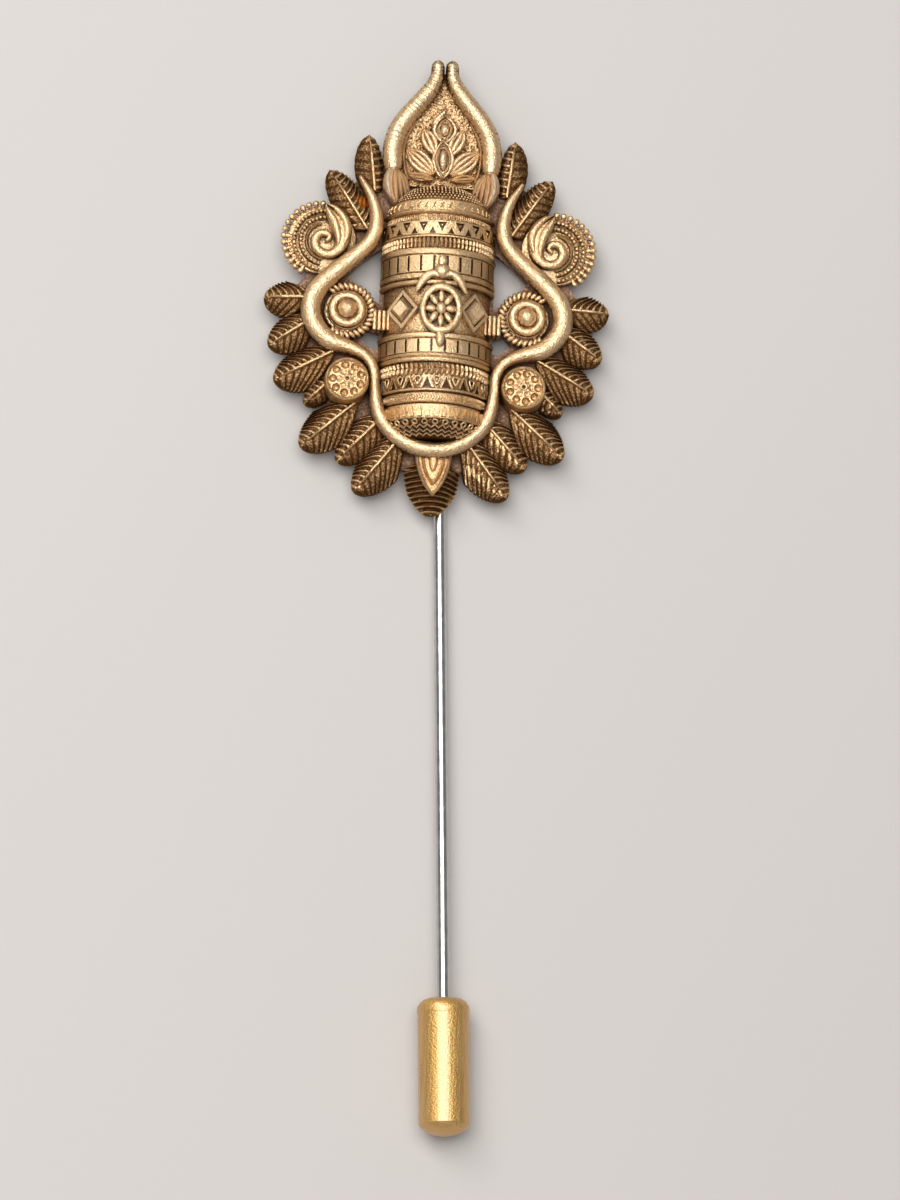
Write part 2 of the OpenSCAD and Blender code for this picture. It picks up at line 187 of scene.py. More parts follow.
def turn(degrees, axis="Z", about=(0, 0, 0)):
    """Turns what is selected counterclockwise. With no window the operator turns the other way."""
    bpy.ops.transform.rotate(value=-math.radians(degrees), orient_axis=axis, center_override=about)


def extrude(x=0.0, y=0.0, z=0.0):
    bpy.ops.mesh.extrude_region_move(TRANSFORM_OT_translate={"value": (x, y, z)})


def start(kind, name, **sizes):
    """Adds a primitive at its size and place, as the start of a piece."""
    deselect()
    getattr(bpy.ops.mesh, f"primitive_{kind}_add")(**sizes)
    piece = bpy.context.active_object
    piece.name = piece.data.name = name
    bpy.ops.object.transform_apply(location=True, rotation=True, scale=True)
    return piece


def modify(piece, kind, **settings):
    """Adds a modifier, sets it and applies it."""
    focus(piece)
    bpy.ops.object.modifier_add(type=kind)
    modifier = piece.modifiers[-1]
    for key, value in settings.items():
        setattr(modifier, key, value)
    bpy.ops.object.modifier_apply(modifier=modifier.name)
    return piece


def shift(piece, amount, axis="Z"):
    """Moves every vertex by an amount that depends on its place, with a weighted Displace."""
    amounts = [amount(vertex.co) for vertex in piece.data.vertices]
    low, reach = min(amounts), max(max(amounts) - min(amounts), 1e-6)
    group = piece.vertex_groups.new(name="shift")
    for i, value in enumerate(amounts):
        group.add([i], (value - low) / reach, "REPLACE")
    modify(piece, "DISPLACE", vertex_group="shift", direction=axis, strength=reach, mid_level=0)
    piece.vertex_groups.clear()
    with whole(piece):
        move(**{axis.lower(): low})
    return piece


def combine(piece, other, operation="DIFFERENCE"):
    """Cuts one closed mesh out of another, or adds it with UNION, and throws it away."""
    modify(piece, "BOOLEAN", operation=operation, solver="EXACT", object=other)
    bpy.data.objects.remove(other)
    return piece


def join(name, *pieces):
    """Makes one piece of these, under this name."""
    focus(*pieces)
    if len(pieces) > 1:
        bpy.ops.object.join()
    piece = bpy.context.active_object
    piece.name = piece.data.name = name
    return piece


def outward():
    """Turns the faces of what is in edit mode outwards."""
    pick_all()
    bpy.ops.mesh.normals_make_consistent(inside=False)


def mirrored(piece, name):
    """The same piece on the other side of the head, with a mesh of its own."""
    focus(piece)
    bpy.ops.object.duplicate(linked=False)
    twin = bpy.context.active_object
    twin.name = twin.data.name = name
    with whole(twin):
        resize(x=-1)
        outward()
    return twin


def chain(name, points):
    """A chain of edges, drawn by extruding one vertex from point to point."""
    piece = start("plane", name, size=1)
    with whole(piece):
        bpy.ops.mesh.merge(type="CENTER")
        move(*points[0])
        for here, there in zip(points, points[1:]):
            step = tuple(b - a for a, b in zip(here, there))
            bpy.ops.mesh.extrude_vertices_move(TRANSFORM_OT_translate={"value": step})
    return piece


def plate_of(name, outline, low, high):
    """A flat plate with this outline in plan, between two heights."""
    piece = chain(name, [(x, y, low) for x, y in outline])
    with whole(piece):
        bpy.ops.mesh.edge_face_add()
        extrude(z=high - low)
        outward()
    return piece


def lathe(name, profile, steps=48, centre=(0, 0, 0)):
    """A closed turned shape: radius and height pairs, spun round a vertical axis."""
    piece = chain(name, [(centre[0] + radius, centre[1], centre[2] + height) for radius, height in profile])
    with whole(piece):
        bpy.ops.mesh.spin(steps=steps, angle=math.tau, center=centre, axis=(0, 0, 1))
        pick_all()
        bpy.ops.mesh.remove_doubles(threshold=0.001)
        outward()
    return piece


def copies_round(piece, count, degrees, centre, axis):
    """Copies what the mesh holds round an axis, count pieces in all over so many degrees."""
    with whole(piece):
        bpy.ops.mesh.spin(steps=count - 1, angle=math.radians(degrees), center=centre, axis=axis, dupli=True)
    return piece


def smooth_path(rows, steps):
    """Points of a smooth curve through the rows."""
    def row(i):
        return Vector(rows[max(0, min(len(rows) - 1, i))])

    points = []
    for i in range(len(rows) - 1):
        a, b, c, d = row(i - 1), row(i), row(i + 1), row(i + 2)
        for k in range(steps):
            t = k / steps
            points.append(0.5 * (2 * b + (c - a) * t + (2 * a - 5 * b + 4 * c - d) * t * t
                                 + (3 * b - a - 3 * c + d) * t ** 3))
    return points + [row(len(rows) - 1)]


def rounded_ends(path, reach):
    """Adds a rounded end to both ends of a path of (x, y, share) rows; reach is the tube's half width."""
    def cap_rows(end, behind):
        way = Vector((end[0] - behind[0], end[1] - behind[1])).normalized()
        rows = []
        for angle in (25, 48, 68, 83):
            out = reach * end[2] * math.sin(math.radians(angle))
            rows.append(Vector((end[0] + way.x * out, end[1] + way.y * out, end[2] * math.cos(math.radians(angle)))))
        return rows

    return cap_rows(path[0], path[1])[::-1] + list(path) + cap_rows(path[-1], path[-2])


def sweep(name, path, width, height, z, sides=12):
    """A tube along a level path of (x, y, share) rows, drawn by extruding its first ring from row to row."""
    def heading(i):
        a, b = path[max(0, i - 1)], path[min(len(path) - 1, i + 1)]
        return math.degrees(math.atan2(b[1] - a[1], b[0] - a[0]))

    tube = start("circle", name, vertices=sides, radius=0.5, fill_type="NGON", rotation=(math.pi / 2, 0, 0))
    with whole(tube):
        share = path[0][2]
        resize(width * share, 1, height * math.sqrt(share))
        turn(heading(0) - 90)
        move(path[0][0], path[0][1], z)
        for i in range(1, len(path)):
            here = (path[i][0], path[i][1], z)
            extrude(path[i][0] - path[i - 1][0], path[i][1] - path[i - 1][1], 0)
            turn((heading(i) - heading(i - 1) + 180) % 360 - 180, about=here)
            ratio = path[i][2] / path[i - 1][2]
            resize(ratio, ratio, math.sqrt(ratio), about=here)
        outward()
    return tube


def note(piece, name, measure):
    """Keeps a number at each vertex, for a finish to read."""
    field = piece.data.attributes.new(name, "FLOAT", "POINT")
    for vertex, cell in zip(piece.data.vertices, field.data):
        cell.value = measure(vertex)
    return piece


def note_along(piece, path):
    """Keeps each vertex's distance along the path, in millimetres."""
    run = [0.0]
    for a, b in zip(path, path[1:]):
        run.append(run[-1] + math.hypot(b[0] - a[0], b[1] - a[1]))

    def distance(vertex):
        return run[min(range(len(path)), key=lambda i: (path[i][0] - vertex.co.x) ** 2
                       + (path[i][1] - vertex.co.y) ** 2)]

    return note(piece, "along", distance)


def over_drum(piece, radius):
    """Bends a flat ornament, drawn in plan with its height over zero, over the drum at this radius."""
    with whole(piece):
        turn(-90, "X")
    width = max(v.co.x for v in piece.data.vertices) - min(v.co.x for v in piece.data.vertices)
    modify(piece, "SIMPLE_DEFORM", deform_method="BEND", deform_axis="Z", angle=-width / radius)
    with whole(piece):
        turn(90, "X")
        move(z=radius + DRUM_AXIS[2])
    return piece


def round_drum(piece, count, pitch):
    """Copies an ornament on the drum's middle line round the drum, evenly to both sides."""
    with whole(piece):
        turn(pitch * (count - 1) / 2, "Y", about=DRUM_AXIS)
    return copies_round(piece, count, pitch * (count - 1), DRUM_AXIS, (0, 1, 0))


def on_drum(piece, place, radius, tilt=0.0):
    """Puts an ornament, drawn flat at the origin, on the drum's middle line at this place along it."""
    with whole(piece):
        if tilt:
            turn(tilt, "X")
        move(0, place, radius + DRUM_AXIS[2])
    return piece


def cut_below(piece, level):
    """Cuts off what lies under this height and closes the cut."""
    with whole(piece):
        bpy.ops.mesh.bisect(plane_co=(0, 0, level), plane_no=(0, 0, 1), use_fill=True, clear_inner=True)
        outward()
    return piece


def ball(name, place, radius, flat=1.0, fine=2):
    """A round bead, squashed to the share flat of its height."""
    bead = start("ico_sphere", name, subdivisions=fine, radius=radius, location=place)
    if flat != 1:
        with whole(bead):
            resize(z=flat, about=place)
    return bead


def hoop(name, radius, thick, steps, sides, place=(0, 0, 0)):
    """A ring that lies flat. thick is the radius of its section."""
    return start("torus", name, major_radius=radius, minor_radius=thick, major_segments=steps, minor_segments=sides,
                 location=place)


def grain(name, length, width, height, sides=8, blunt=1.0):
    """A long bead along Y at the origin, with its middle at the height zero."""
    bead = start("uv_sphere", name, segments=sides, ring_count=8, radius=0.5, rotation=(math.pi / 2, 0, 0))
    with editing(bead):
        if blunt != 1:
            pick(bead, lambda v: 0.1 < abs(v.co.y) < 0.49)
            resize(blunt, 1, blunt)
        pick_all()
        resize(width, length, height * 2)
    return bead


def ridge(name, points, width, height, z, sides=8):
    """A raised ridge along a smooth curve through the (x, y, share) rows, with rounded ends."""
    return sweep(name, rounded_ends(smooth_path(points, 3), width / 2), width, height, z, sides)


def place_at(piece, x, y, z=0.0, degrees=0.0):
    """Turns a piece round the vertical axis and then moves it."""
    with whole(piece):
        if degrees:
            turn(degrees)
        move(x, y, z)
    return piece


def on_needle(piece):
    """Brings a piece that was turned round the vertical axis onto the needle's axis."""
    with whole(piece):
        turn(90 - NEEDLE_RISE, "X")
        turn(NEEDLE_LEAN)
        move(*NEEDLE_START)
    return piece


def twins(right, x, y):
    """A piece that is drawn to the right of its middle line, and its mirror image, both moved to this place."""
    left = mirrored(right, right.name)
    return [place_at(right, x, y), place_at(left, x, y)]


def settle(piece, finish, node, body=HEAD, angle=40):
    """Brings a finished piece to metres, gives it its finish and ties it to the frame."""
    with whole(piece):
        bpy.ops.mesh.faces_shade_smooth()
        resize(METRES, METRES, METRES)
    focus(piece)
    bpy.ops.object.shade_smooth_by_angle(angle=math.radians(angle))
    piece.data.materials.clear()
    piece.data.materials.append(finishes(finish))
    # How far each vertex faces up, which the brass finishes turn into painted shade on the sides and painted light on
    # the tops
    note(piece, "facing", lambda vertex: vertex.normal.z)
    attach(piece, body)
    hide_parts(node)


def settle_both(right, finish, node, angle=60):
    """Settles a piece on the right and its mirror image on the left. Only the side differs in their names."""
    left = mirrored(right, right.name.replace("right", "left"))
    for piece, side in ((right, "right"), (left, "left")):
        settle(piece, finish, node.replace("right", side), angle=angle)


# ---- Finishes


def arithmetic(operation, reflected=False):
    """An operator of Value, which adds one Math node."""
    def calculate(value, other):
        first, second = (other, value) if reflected else (value, other)
        return value.finish.node("ShaderNodeMath", {"operation": operation}, {0: first, 1: second})

    return calculate


class Value:
    """One socket of a finish. Arithmetic on it adds Math nodes."""

    def __init__(self, finish, socket):
        self.finish, self.socket = finish, socket

    __add__ = __radd__ = arithmetic("ADD")
    __mul__ = __rmul__ = arithmetic("MULTIPLY")
    __sub__, __rsub__ = arithmetic("SUBTRACT"), arithmetic("SUBTRACT", reflected=True)
    __truediv__, __rtruediv__ = arithmetic("DIVIDE"), arithmetic("DIVIDE", reflected=True)


class Finish:
    """A material whose nodes are added one by one."""

    def __init__(self, name, **constants):
        self.material = bpy.data.materials.new(name)
        self.material.use_nodes = True
        self.tree = self.material.node_tree
        self.shader = self.tree.nodes["Principled BSDF"]
        for key, value in constants.items():
            self.shader.inputs[key.replace("_", " ")].default_value = value

    def feed(self, target, value):
        if isinstance(value, Value):
            self.tree.links.new(value.socket, target)
        else:
            target.default_value = value

    def node(self, kind, settings=None, sockets=None, output=0):
        node = self.tree.nodes.new(kind)
        for key, value in (settings or {}).items():
            if key == "stops":
                while len(node.color_ramp.elements) < len(value):
                    node.color_ramp.elements.new(0.5)
                for stop, (place, level) in zip(node.color_ramp.elements, value):
                    stop.position = place
                    stop.color = (level, level, level, 1)
            else:
                setattr(node, key, value)
        for key, value in (sockets or {}).items():
            self.feed(node.inputs[key], value)
        return Value(self, node.outputs[output])

    def place(self):
        return self.node("ShaderNodeTexCoord", output="Object")

    def noise(self, scale, detail=2.0, place=None):
        """Soft noise from 0 to 1; scale is in waves per metre."""
        return self.node("ShaderNodeTexNoise", sockets={"Vector": place or self.place(), "Scale": scale,
                                                        "Detail": detail})

    def curve(self, value, *stops):
        return self.node("ShaderNodeValToRGB", {"stops": stops}, {"Fac": value})

    def mix(self, share, low, high):
        return self.node("ShaderNodeMix", {"data_type": "RGBA"}, {0: share, 6: low, 7: high}, output=2)

    def hollow(self, reach):
        """1 on open surfaces and less in hollows; reach is in metres."""
        return self.node("ShaderNodeAmbientOcclusion", {"samples": 8}, {"Distance": reach}, output="AO")

    def attribute(self, name):
        return self.node("ShaderNodeAttribute", {"attribute_name": name}, output="Fac")

    def edges(self):
        return self.node("ShaderNodeNewGeometry", output="Pointiness")

    def bump(self, height, strength, distance):
        relief = self.node("ShaderNodeBump", sockets={"Height": height, "Strength": strength,
                                                      "Distance": distance})
        self.feed(self.shader.inputs["Normal"], relief)

    def surface(self, **feeds):
        for key, value in feeds.items():
            self.feed(self.shader.inputs[key.replace("_", " ")], value)
        return self.material


# Middle of the ochre speck, in metres
SPECK_AT = (-0.00763, 0.01161, 0.0032)

# Waves per metre of the brass's tarnish and of its grit, and the depth of the relief that they give
CLOUD_WAVES, GRIT_WAVES, RELIEF_DEPTH = 420, 6200, 0.00013

# Lines across a crown tube for each millimetre along it, and its length, because it is darker towards its top end
LINE_WAVES, TUBE_LENGTH = 3.4, 13

# The palest rubbed brass, a cream for the painted highlight, and how much darker rubbed brass is between the grains
HIGHLIGHT_CREAM = Vector((0.95, 0.83, 0.66, 1))
BETWEEN_GRAINS = 0.78

# Each cast brass: how far patina covers it, then what differs from brass_finish's own values
BRASSES = {
    "leaf": {"patina_share": 0.29, "hollows": 0.6, "reach": 0.0005, "worn": True},
    "cast": {"patina_share": 0.06, "lacquer": 0.4},
    # The sepals: little patina and much cream, painted light where shade falls on them
    "sepal": {"patina_share": -0.5, "gloss": 0.45, "hollows": 0.5, "reach": 0.0004, "cream_sheen": 0.5, "flank_shade": 0.3,
              "lacquer": 0.8},
    "lotus": {"patina_share": -0.3, "hollows": 0.9, "reach": 0.0004, "cream_sheen": 0.3, "flank_shade": 0.25},
    "drum": {"patina_share": -0.04, "gloss": 0.38, "reach": 0.0006, "lacquer": 0.3},
    "panel": {"patina_share": 0.36, "hollows": 0.7, "cream_sheen": 0.08, "worn": True},
    "rail": {"patina_share": -0.38, "gloss": 0.41, "flank_shade": 1.55, "lacquer": 0.95, "speck_waves": 3700,
             "specks": 2.2},
    "crown": {"patina_share": -0.3, "gloss": 0.4, "cream_sheen": 0.05, "flank_shade": 1.5, "lacquer": 0.9, "speck_waves": 4200,
              "specks": 1.7, "lined": True},
    # The lozenges: less patina and more cream, a painted highlight that their tilted tops do not catch from the lamps
    "lozenge": {"patina_share": -0.3, "gloss": 0.5, "cream_sheen": 0.2},
    "dome": {"patina_share": 0.8, "reach": 0.0005},
    "rosette": {"patina_share": -0.03, "hollows": 1.1},
}


def speck(finish, colour, rust):
    """An ochre speck on the left, between the hook and the leaf."""
    away = finish.node("ShaderNodeVectorMath", {"operation": "DISTANCE"}, {0: finish.place(), 1: SPECK_AT},
                       output="Value")
    inside = finish.curve(away / METRES + (finish.noise(1400, 3) - 0.5) * 1.1, (0.42, 1), (0.78, 0))
    return finish.mix(inside, colour, rust)


def ground_finish(colours):
    """The rough, dark ground between the ornaments."""
    finish = Finish("ground_brass", Specular_IOR_Level=0.4)
    grit = finish.noise(4200, 3)
    clouds = finish.noise(700, 2)
    light = finish.curve(finish.hollow(0.0010) * 0.5 + grit * 0.8 + (clouds - 0.5) * 0.4, (0.62, 0), (1.0, 1))
    colour = finish.mix(light, colours.patina, colours.ground)
    finish.bump(grit, 0.8, 0.00012)
    return finish.surface(Base_Color=speck(finish, colour, colours.rust),
                          Metallic=finish.curve(light, (0.2, 0.3), (1.0, 0.9)),
                          Roughness=finish.curve(light, (0.1, 0.62), (1.0, 0.42)))


def brass_finish(name, colours, patina_share, gloss=0.36, hollows=1.0, reach=0.0007, cream_sheen=0.0, flank_shade=0.45,
                 lacquer=0.0, speck_waves=GRIT_WAVES, specks=1.1, lined=False, worn=False):
    """Cast brass with patina in its hollows, painted shade on its sides, and rubbed tops with a painted cream sheen.

    gloss is the roughness of rubbed brass, hollows says how much patina the hollows hold, flank_shade how much
    painted shade darkens surfaces that face away from straight up and lightens those that face up, cream_sheen how
    far rubbed brass is whitened towards cream as a painted highlight, and reach is how wide a hollow is, in metres.
    speck_waves and specks are the waves per metre and the strength of the grains in it.
    """
    finish = Finish(name, Specular_IOR_Level=0.5, Specular_Tint=(0.85, 0.62, 0.38, 1), Coat_IOR=1.9,
                    Coat_Roughness=0.26)
    clouds = finish.noise(CLOUD_WAVES, 3)
    relief = finish.noise(GRIT_WAVES, 2)
    sand = finish.noise(speck_waves, 2)
    # Patina darkens the hollows; pointiness lightens convex edges, as rubbing and as a painted edge highlight, and
    # darkens creases
    wear_and_light = 1 - (1 - finish.hollow(reach)) * hollows + (finish.edges() - 0.5) * 4.0
    # Painted light and shade: faces that point up are lighter, and sides that face away from up are darker
    wear_and_light = wear_and_light + (finish.attribute("facing") - 0.85) * flank_shade
    if lined:
        along = finish.attribute("along")
        lines = finish.node("ShaderNodeTexNoise", {"noise_dimensions": "1D"},
                            {"W": along, "Scale": LINE_WAVES, "Detail": 1.0})
        wear_and_light = wear_and_light + (lines - 0.5) * 1.5 - finish.curve(along / TUBE_LENGTH, (0.72, 0), (0.97, 0.6))
        relief = relief * 0.8 + lines * 0.9
    # The number each piece keeps at its vertices: ribs, stipple and midribs, and on the leaves painted shade on one
    # half
    if worn:
        wear_and_light = wear_and_light + (finish.attribute("worn") - 0.55) * 0.6
    rub_and_light = finish.curve(wear_and_light + (clouds - 0.5) * 0.35 + (sand - 0.5) * specks - patina_share,
                       (0.15, 0), (0.5, 0.5), (0.9, 1))
    dark = finish.mix(finish.curve(rub_and_light, (0.0, 0), (0.5, 1)), colours.patina, colours.old_brass)
    # Rubbed brass, whitened towards cream as a painted highlight on the high places
    bright = Vector(colours.brass).lerp(HIGHLIGHT_CREAM, cream_sheen)
    rubbed = finish.mix(finish.curve(sand, (0.34, 0), (0.6, 1)), bright * BETWEEN_GRAINS, bright)
    colour = finish.mix(finish.curve(rub_and_light, (0.4, 0), (0.9, 1)), dark, rubbed)
    if worn:
        colour = speck(finish, colour, colours.rust)
    finish.bump(relief, 0.9, RELIEF_DEPTH)
    coat = finish.curve(sand, (0.38, 0.05), (0.58, 1)) * lacquer if lacquer else 0.0
    return finish.surface(Base_Color=colour, Metallic=finish.curve(rub_and_light, (0.1, 0.96), (0.55, 1)), Coat_Weight=coat,
                          Roughness=finish.curve(rub_and_light, (0.1, 0.55), (0.9, gloss)) - (sand - 0.5) * 0.15)


def steel_finish(colours):
    """Polished steel with faint streaks."""
    finish = Finish("needle_steel_polished", Metallic=1.0)
    streaks = finish.noise(900, 2)
    finish.bump(streaks, 0.08, 0.00002)
    colour = finish.mix(finish.curve(streaks, (0.35, 0), (0.7, 1)), (0.52, 0.50, 0.485, 1), colours.steel)
    return finish.surface(Base_Color=colour, Roughness=finish.curve(streaks, (0.3, 0.16), (0.7, 0.24)))


def gold_finish(colours):
    """Satin gold, brushed along the cap."""
    finish = Finish("cap_gold_satin", Metallic=1.0, Specular_Tint=(0.6, 0.33, 0.12, 1), Coat_Weight=1.0,
                    Coat_IOR=1.8, Coat_Roughness=0.26)
    along = finish.node("ShaderNodeMapping", sockets={"Vector": finish.place(), "Scale": (5200, 160, 5200)})
    brushed = finish.noise(1.0, 2.0, along)
    finish.bump(brushed * 0.3 + finish.noise(5200, 2), 0.9, 0.00011)
    colour = finish.mix(finish.curve(brushed, (0.3, 0), (0.7, 1)), (0.60, 0.335, 0.075, 1), colours.gold)
    return finish.surface(Base_Color=colour, Roughness=finish.curve(brushed, (0.3, 0.46), (0.7, 0.56)))


MADE = {}


def finishes(name):
    """The finish of this name. All are made on first use."""
    if not MADE:
        colours = bpy.context.scene.pin_colours
        MADE.update(steel=steel_finish(colours), gold=gold_finish(colours), ground=ground_finish(colours))
        for brass, settings in BRASSES.items():
            MADE[brass] = brass_finish(f"{brass}_brass", colours, **settings)
    return MADE[name]


# ---- The plate and its leaves

PLATE_HALF = [(0, -16.5), (3.2, -15.5), (6, -13.6), (8.6, -11.4), (10.8, -8.8), (12.2, -6), (13.5, -3.2),
              (14.1, 0), (14, 2.6), (13, 4), (9.6, 10.8), (8.6, 13.4), (7, 15.6), (5.4, 16.4), (0, 16.4)]
UPPER_GAP = [(5.65, 6.9), (7.3, 5.6), (8.95, 4.0), (8.2, 3.1), (7.3, 2.45), (6.5, 1.6), (5.65, 1.2)]
LOWER_GAP = [(5.65, -1.9), (6.8, -1.6), (7.5, -2.4), (7.0, -3.0), (6.2, -3.5), (5.65, -3.4)]

# Leaves on the right: foot, tip, half widths to the left and right of the midrib, lift over the plate, share of the
# usual bend of the ribs towards the tip, and share of the usual rib pitch
LEAVES = [((6.6, 12.6), (7.3, 18.45), (1.25, 1.75), 0.0, 0.3, 1.0),
          ((7.2, 8.6), (11.15, 14.6), (1.9, 1.65), 0.0, 0.7, 0.9),
          ((12.6, 1.3), (17.2, 1.1), (1.85, 2.0), 0.26, 0.9, 0.9),
          ((12.3, -0.8), (16.5, -3.75), (1.8, 2.05), 0.18, 0.9, 0.9),
          ((10.0, -4.0), (15.85, -7.25), (2.0, 2.5), 0.1, 1.0, 1.0),
          ((10.2, -6.9), (12.75, -9.4), (1.1, 1.3), 0.0, 0.9, 0.8),
          ((7.6, -9.1), (12.95, -13.85), (2.15, 2.4), 0.18, 1.0, 1.0),
          ((5.0, -10.5), (9.3, -15.1), (1.8, 2.0), 0.07, 0.9, 1.0),
          ((3.0, -12.3), (7.5, -18.15), (1.95, 2.45), 0.12, 1.0, 1.0)]
BLADE_COLUMNS = 16
RIB_ROWS = 6

# Ribs to the right of a midrib for one to its left, half widths of a thin crest and of a thin groove, and the
# groove's depth, all as shares of a rib
RIB_SHARE, CREST_REACH, GROOVE_REACH, GROOVE_DEPTH = 0.74, 0.19, 0.15, 0.34

# How much of a leaf's half width is left between its ribs, and the height of its flat underside
NOTCH, UNDERSIDE = 0.91, -0.55

# How rubbed a midrib is, where 0.55 is neither rubbed nor dark
MIDRIB_WEAR = 2.4

# The broad leaf at the bottom: half widths along it, length, greatest half width, and where its foot is
TAIL_ROWS = ((0, 1.0), (0.25, 0.98), (0.45, 0.93), (0.62, 0.84), (0.75, 0.68), (0.85, 0.54), (0.93, 0.36), (1, 0.16))
TAIL_LENGTH, TAIL_HALF, TAIL_FOOT = 5.35, 2.95, (0.1, -14.75)

# The drop on it: the right half of its outline, and where its middle is
SHIELD = [(1.75, 0.2), (1.72, -0.5), (1.4, -1.8), (0.8, -3.1)]
SHIELD_AT = (0.15, -14.2)


def leaf_share(t):
    """Half width of a leaf of half width 1, at the share t of the way from foot to tip."""
    return max(0.08, math.sin(math.pi * (0.15 + 0.85 * min(t, 0.999)) ** 1.1) ** 0.47)


def tail_share(t):
    """Half width of the broad leaf, likewise."""
    for (a, low), (b, high) in zip(TAIL_ROWS, TAIL_ROWS[1:]):
        if t <= b:
            return low + (high - low) * (t - a) / (b - a)
    return TAIL_ROWS[-1][1]


def blade(name, length, widths, share, slant, rib_pitch, rib_depth, midrib=0.38):
    """One leaf along +X with its foot at the origin: a grid that is domed, ribbed, smoothed and given walls.

    widths are the half widths to the left and right of the midrib, share(t) is the outline, and slant says how far
    the ribs bend towards the tip.
    """
    rise = size("leaf_rise")
    ribs = max(4, round(length / rib_pitch))
    leaf = start("grid", name, x_subdivisions=ribs * RIB_ROWS, y_subdivisions=BLADE_COLUMNS, size=2)
    with whole(leaf):
        resize(x=0.5)
        move(x=0.5)

    def lean(t, y):
        """How far a rib has bent towards the tip at this distance from the midrib, in millimetres."""
        bend = 0.36 * widths[0] * y ** 2.2 if y > 0 else 0.42 * widths[1] * abs(y) ** 1.4
        return slant * bend * (1 - max(0.0, min(1.0, t)) ** 3)

    def half_width(t, y):
        """The leaf's half width on a bent rib, on the side of y."""
        wide = widths[0] if y > 0 else widths[1]
        width = share(t)
        for _ in range(14):
            width = (width + share(t + lean(t, math.copysign(wide * width, y)) / length)) / 2
        return wide * width

    def rib(place):
        """The ribs' height from 0 to 1: thin crests to the left of a midrib, thin grooves to its right."""
        away = abs(place.x * ribs * (1 if place.y > 0 or not midrib else RIB_SHARE) % 1 - 0.5)
        crests = math.exp(-(away / CREST_REACH) ** 2)
        grooves = 1 - GROOVE_DEPTH * math.exp(-((0.5 - away) / GROOVE_REACH) ** 2)
        left = max(0.0, min(1.0, 0.5 + place.y * 5)) if midrib else 1
        return grooves + (crests - grooves) * left

    def ridge_line(t):
        """The leaf's height along its middle."""
        return rise * (1 - 0.55 * max(0.0, t - 0.45) ** 1.5 - 0.25 * max(0.0, 0.25 - t))

    def height(place):
        out = abs(place.y)
        near = min(1, max(0.0, (out - 0.06) / 0.12)) if midrib else 1
        return ridge_line(place.x) * (1 - 0.78 * out ** 2.4) - rib_depth * near * (1 - rib(place))

    def wear_and_light(vertex):
        if vertex.co.y > 0 or not midrib:
            return 1.1 * rib(vertex.co)
        # The half to the right of the midrib is painted darker, as shade, and a little darker still away from the
        # midrib
        return 0.65 * rib(vertex.co) - 0.85 - 0.1 * abs(vertex.co.y)

    note(leaf, "worn", wear_and_light)
    shift(leaf, height)
    shift(leaf, lambda v: v.y * (half_width(v.x, v.y) * (NOTCH + (1 - NOTCH) * rib(v)) - 1), "Y")
    shift(leaf, lambda v: lean(v.x, v.y) / length, "X")
    with whole(leaf):
        resize(x=length)
    modify(leaf, "SUBSURF", levels=1, render_levels=1)
    with editing(leaf):
        bpy.ops.mesh.select_mode(type="EDGE")
        bpy.ops.mesh.select_non_manifold(use_wire=False, use_multi_face=False, use_non_contiguous=False,
                                         use_verts=False)
        extrude(z=-0.2)
        resize(z=0, about=(0, 0, UNDERSIDE))
        bpy.ops.mesh.edge_face_add()
        outward()
    if not midrib:
        return leaf
    spine = ridge(name, [(0.1, 0, 0.9), (length * 0.3, 0, 1), (length * 0.6, 0, 0.9), (length * 0.86, 0, 0.5)],
                  midrib, 0.5, 0, 8)
    shift(spine, lambda place: ridge_line(place.x / length) + 0.04)
    note(spine, "worn", lambda vertex: MIDRIB_WEAR)
    return join(name, leaf, spine)


class PIN_OT_plate(bpy.types.Operator):
    """Models the pierced plate that carries the leaves"""

    bl_idname = "pin.plate"
    bl_label = "Plate"

    def execute(self, context):
        outline = PLATE_HALF + [(-x, y) for x, y in PLATE_HALF[-2:0:-1]]
        plate = plate_of("wreath_plate", outline, PLATE_LOW, PLATE_TOP)
        for side in (1, -1):
            seat = start("cylinder", "scroll_seat", vertices=48, radius=3.4, depth=PLATE_TOP - PLATE_LOW,
                         location=(side * SCROLL_AT[0], SCROLL_AT[1], (PLATE_TOP + PLATE_LOW) / 2))
            combine(plate, seat, "UNION")
            for gap in (UPPER_GAP, LOWER_GAP):
                combine(plate, plate_of("gap", [(side * x, y) for x, y in gap], PLATE_LOW - 1, PLATE_TOP + 1))
        modify(plate, "BEVEL", width=0.12, segments=2, limit_method="ANGLE")
        settle(plate, "ground", "leaf_wreath")
        return {"FINISHED"}


class PIN_OT_leaves(bpy.types.Operator):
    """Models the ribbed leaves of the wreath, nine on each side"""

    bl_idname = "pin.leaves"
    bl_label = "Leaves"

    def execute(self, context):
        made = []
        for (x, y), tip, widths, lift, lean, pitch in LEAVES:
            run = (tip[0] - x, tip[1] - y)
            leaf = blade("leaf", math.hypot(*run), widths, leaf_share, lean, pitch * size("rib_pitch"),
                         size("rib_depth"))
            made.append(place_at(leaf, x, y, PLATE_TOP + lift, math.degrees(math.atan2(run[1], run[0]))))
        settle_both(join("leaves_right", *made), "leaf", "leaf_wreath")
        return {"FINISHED"}


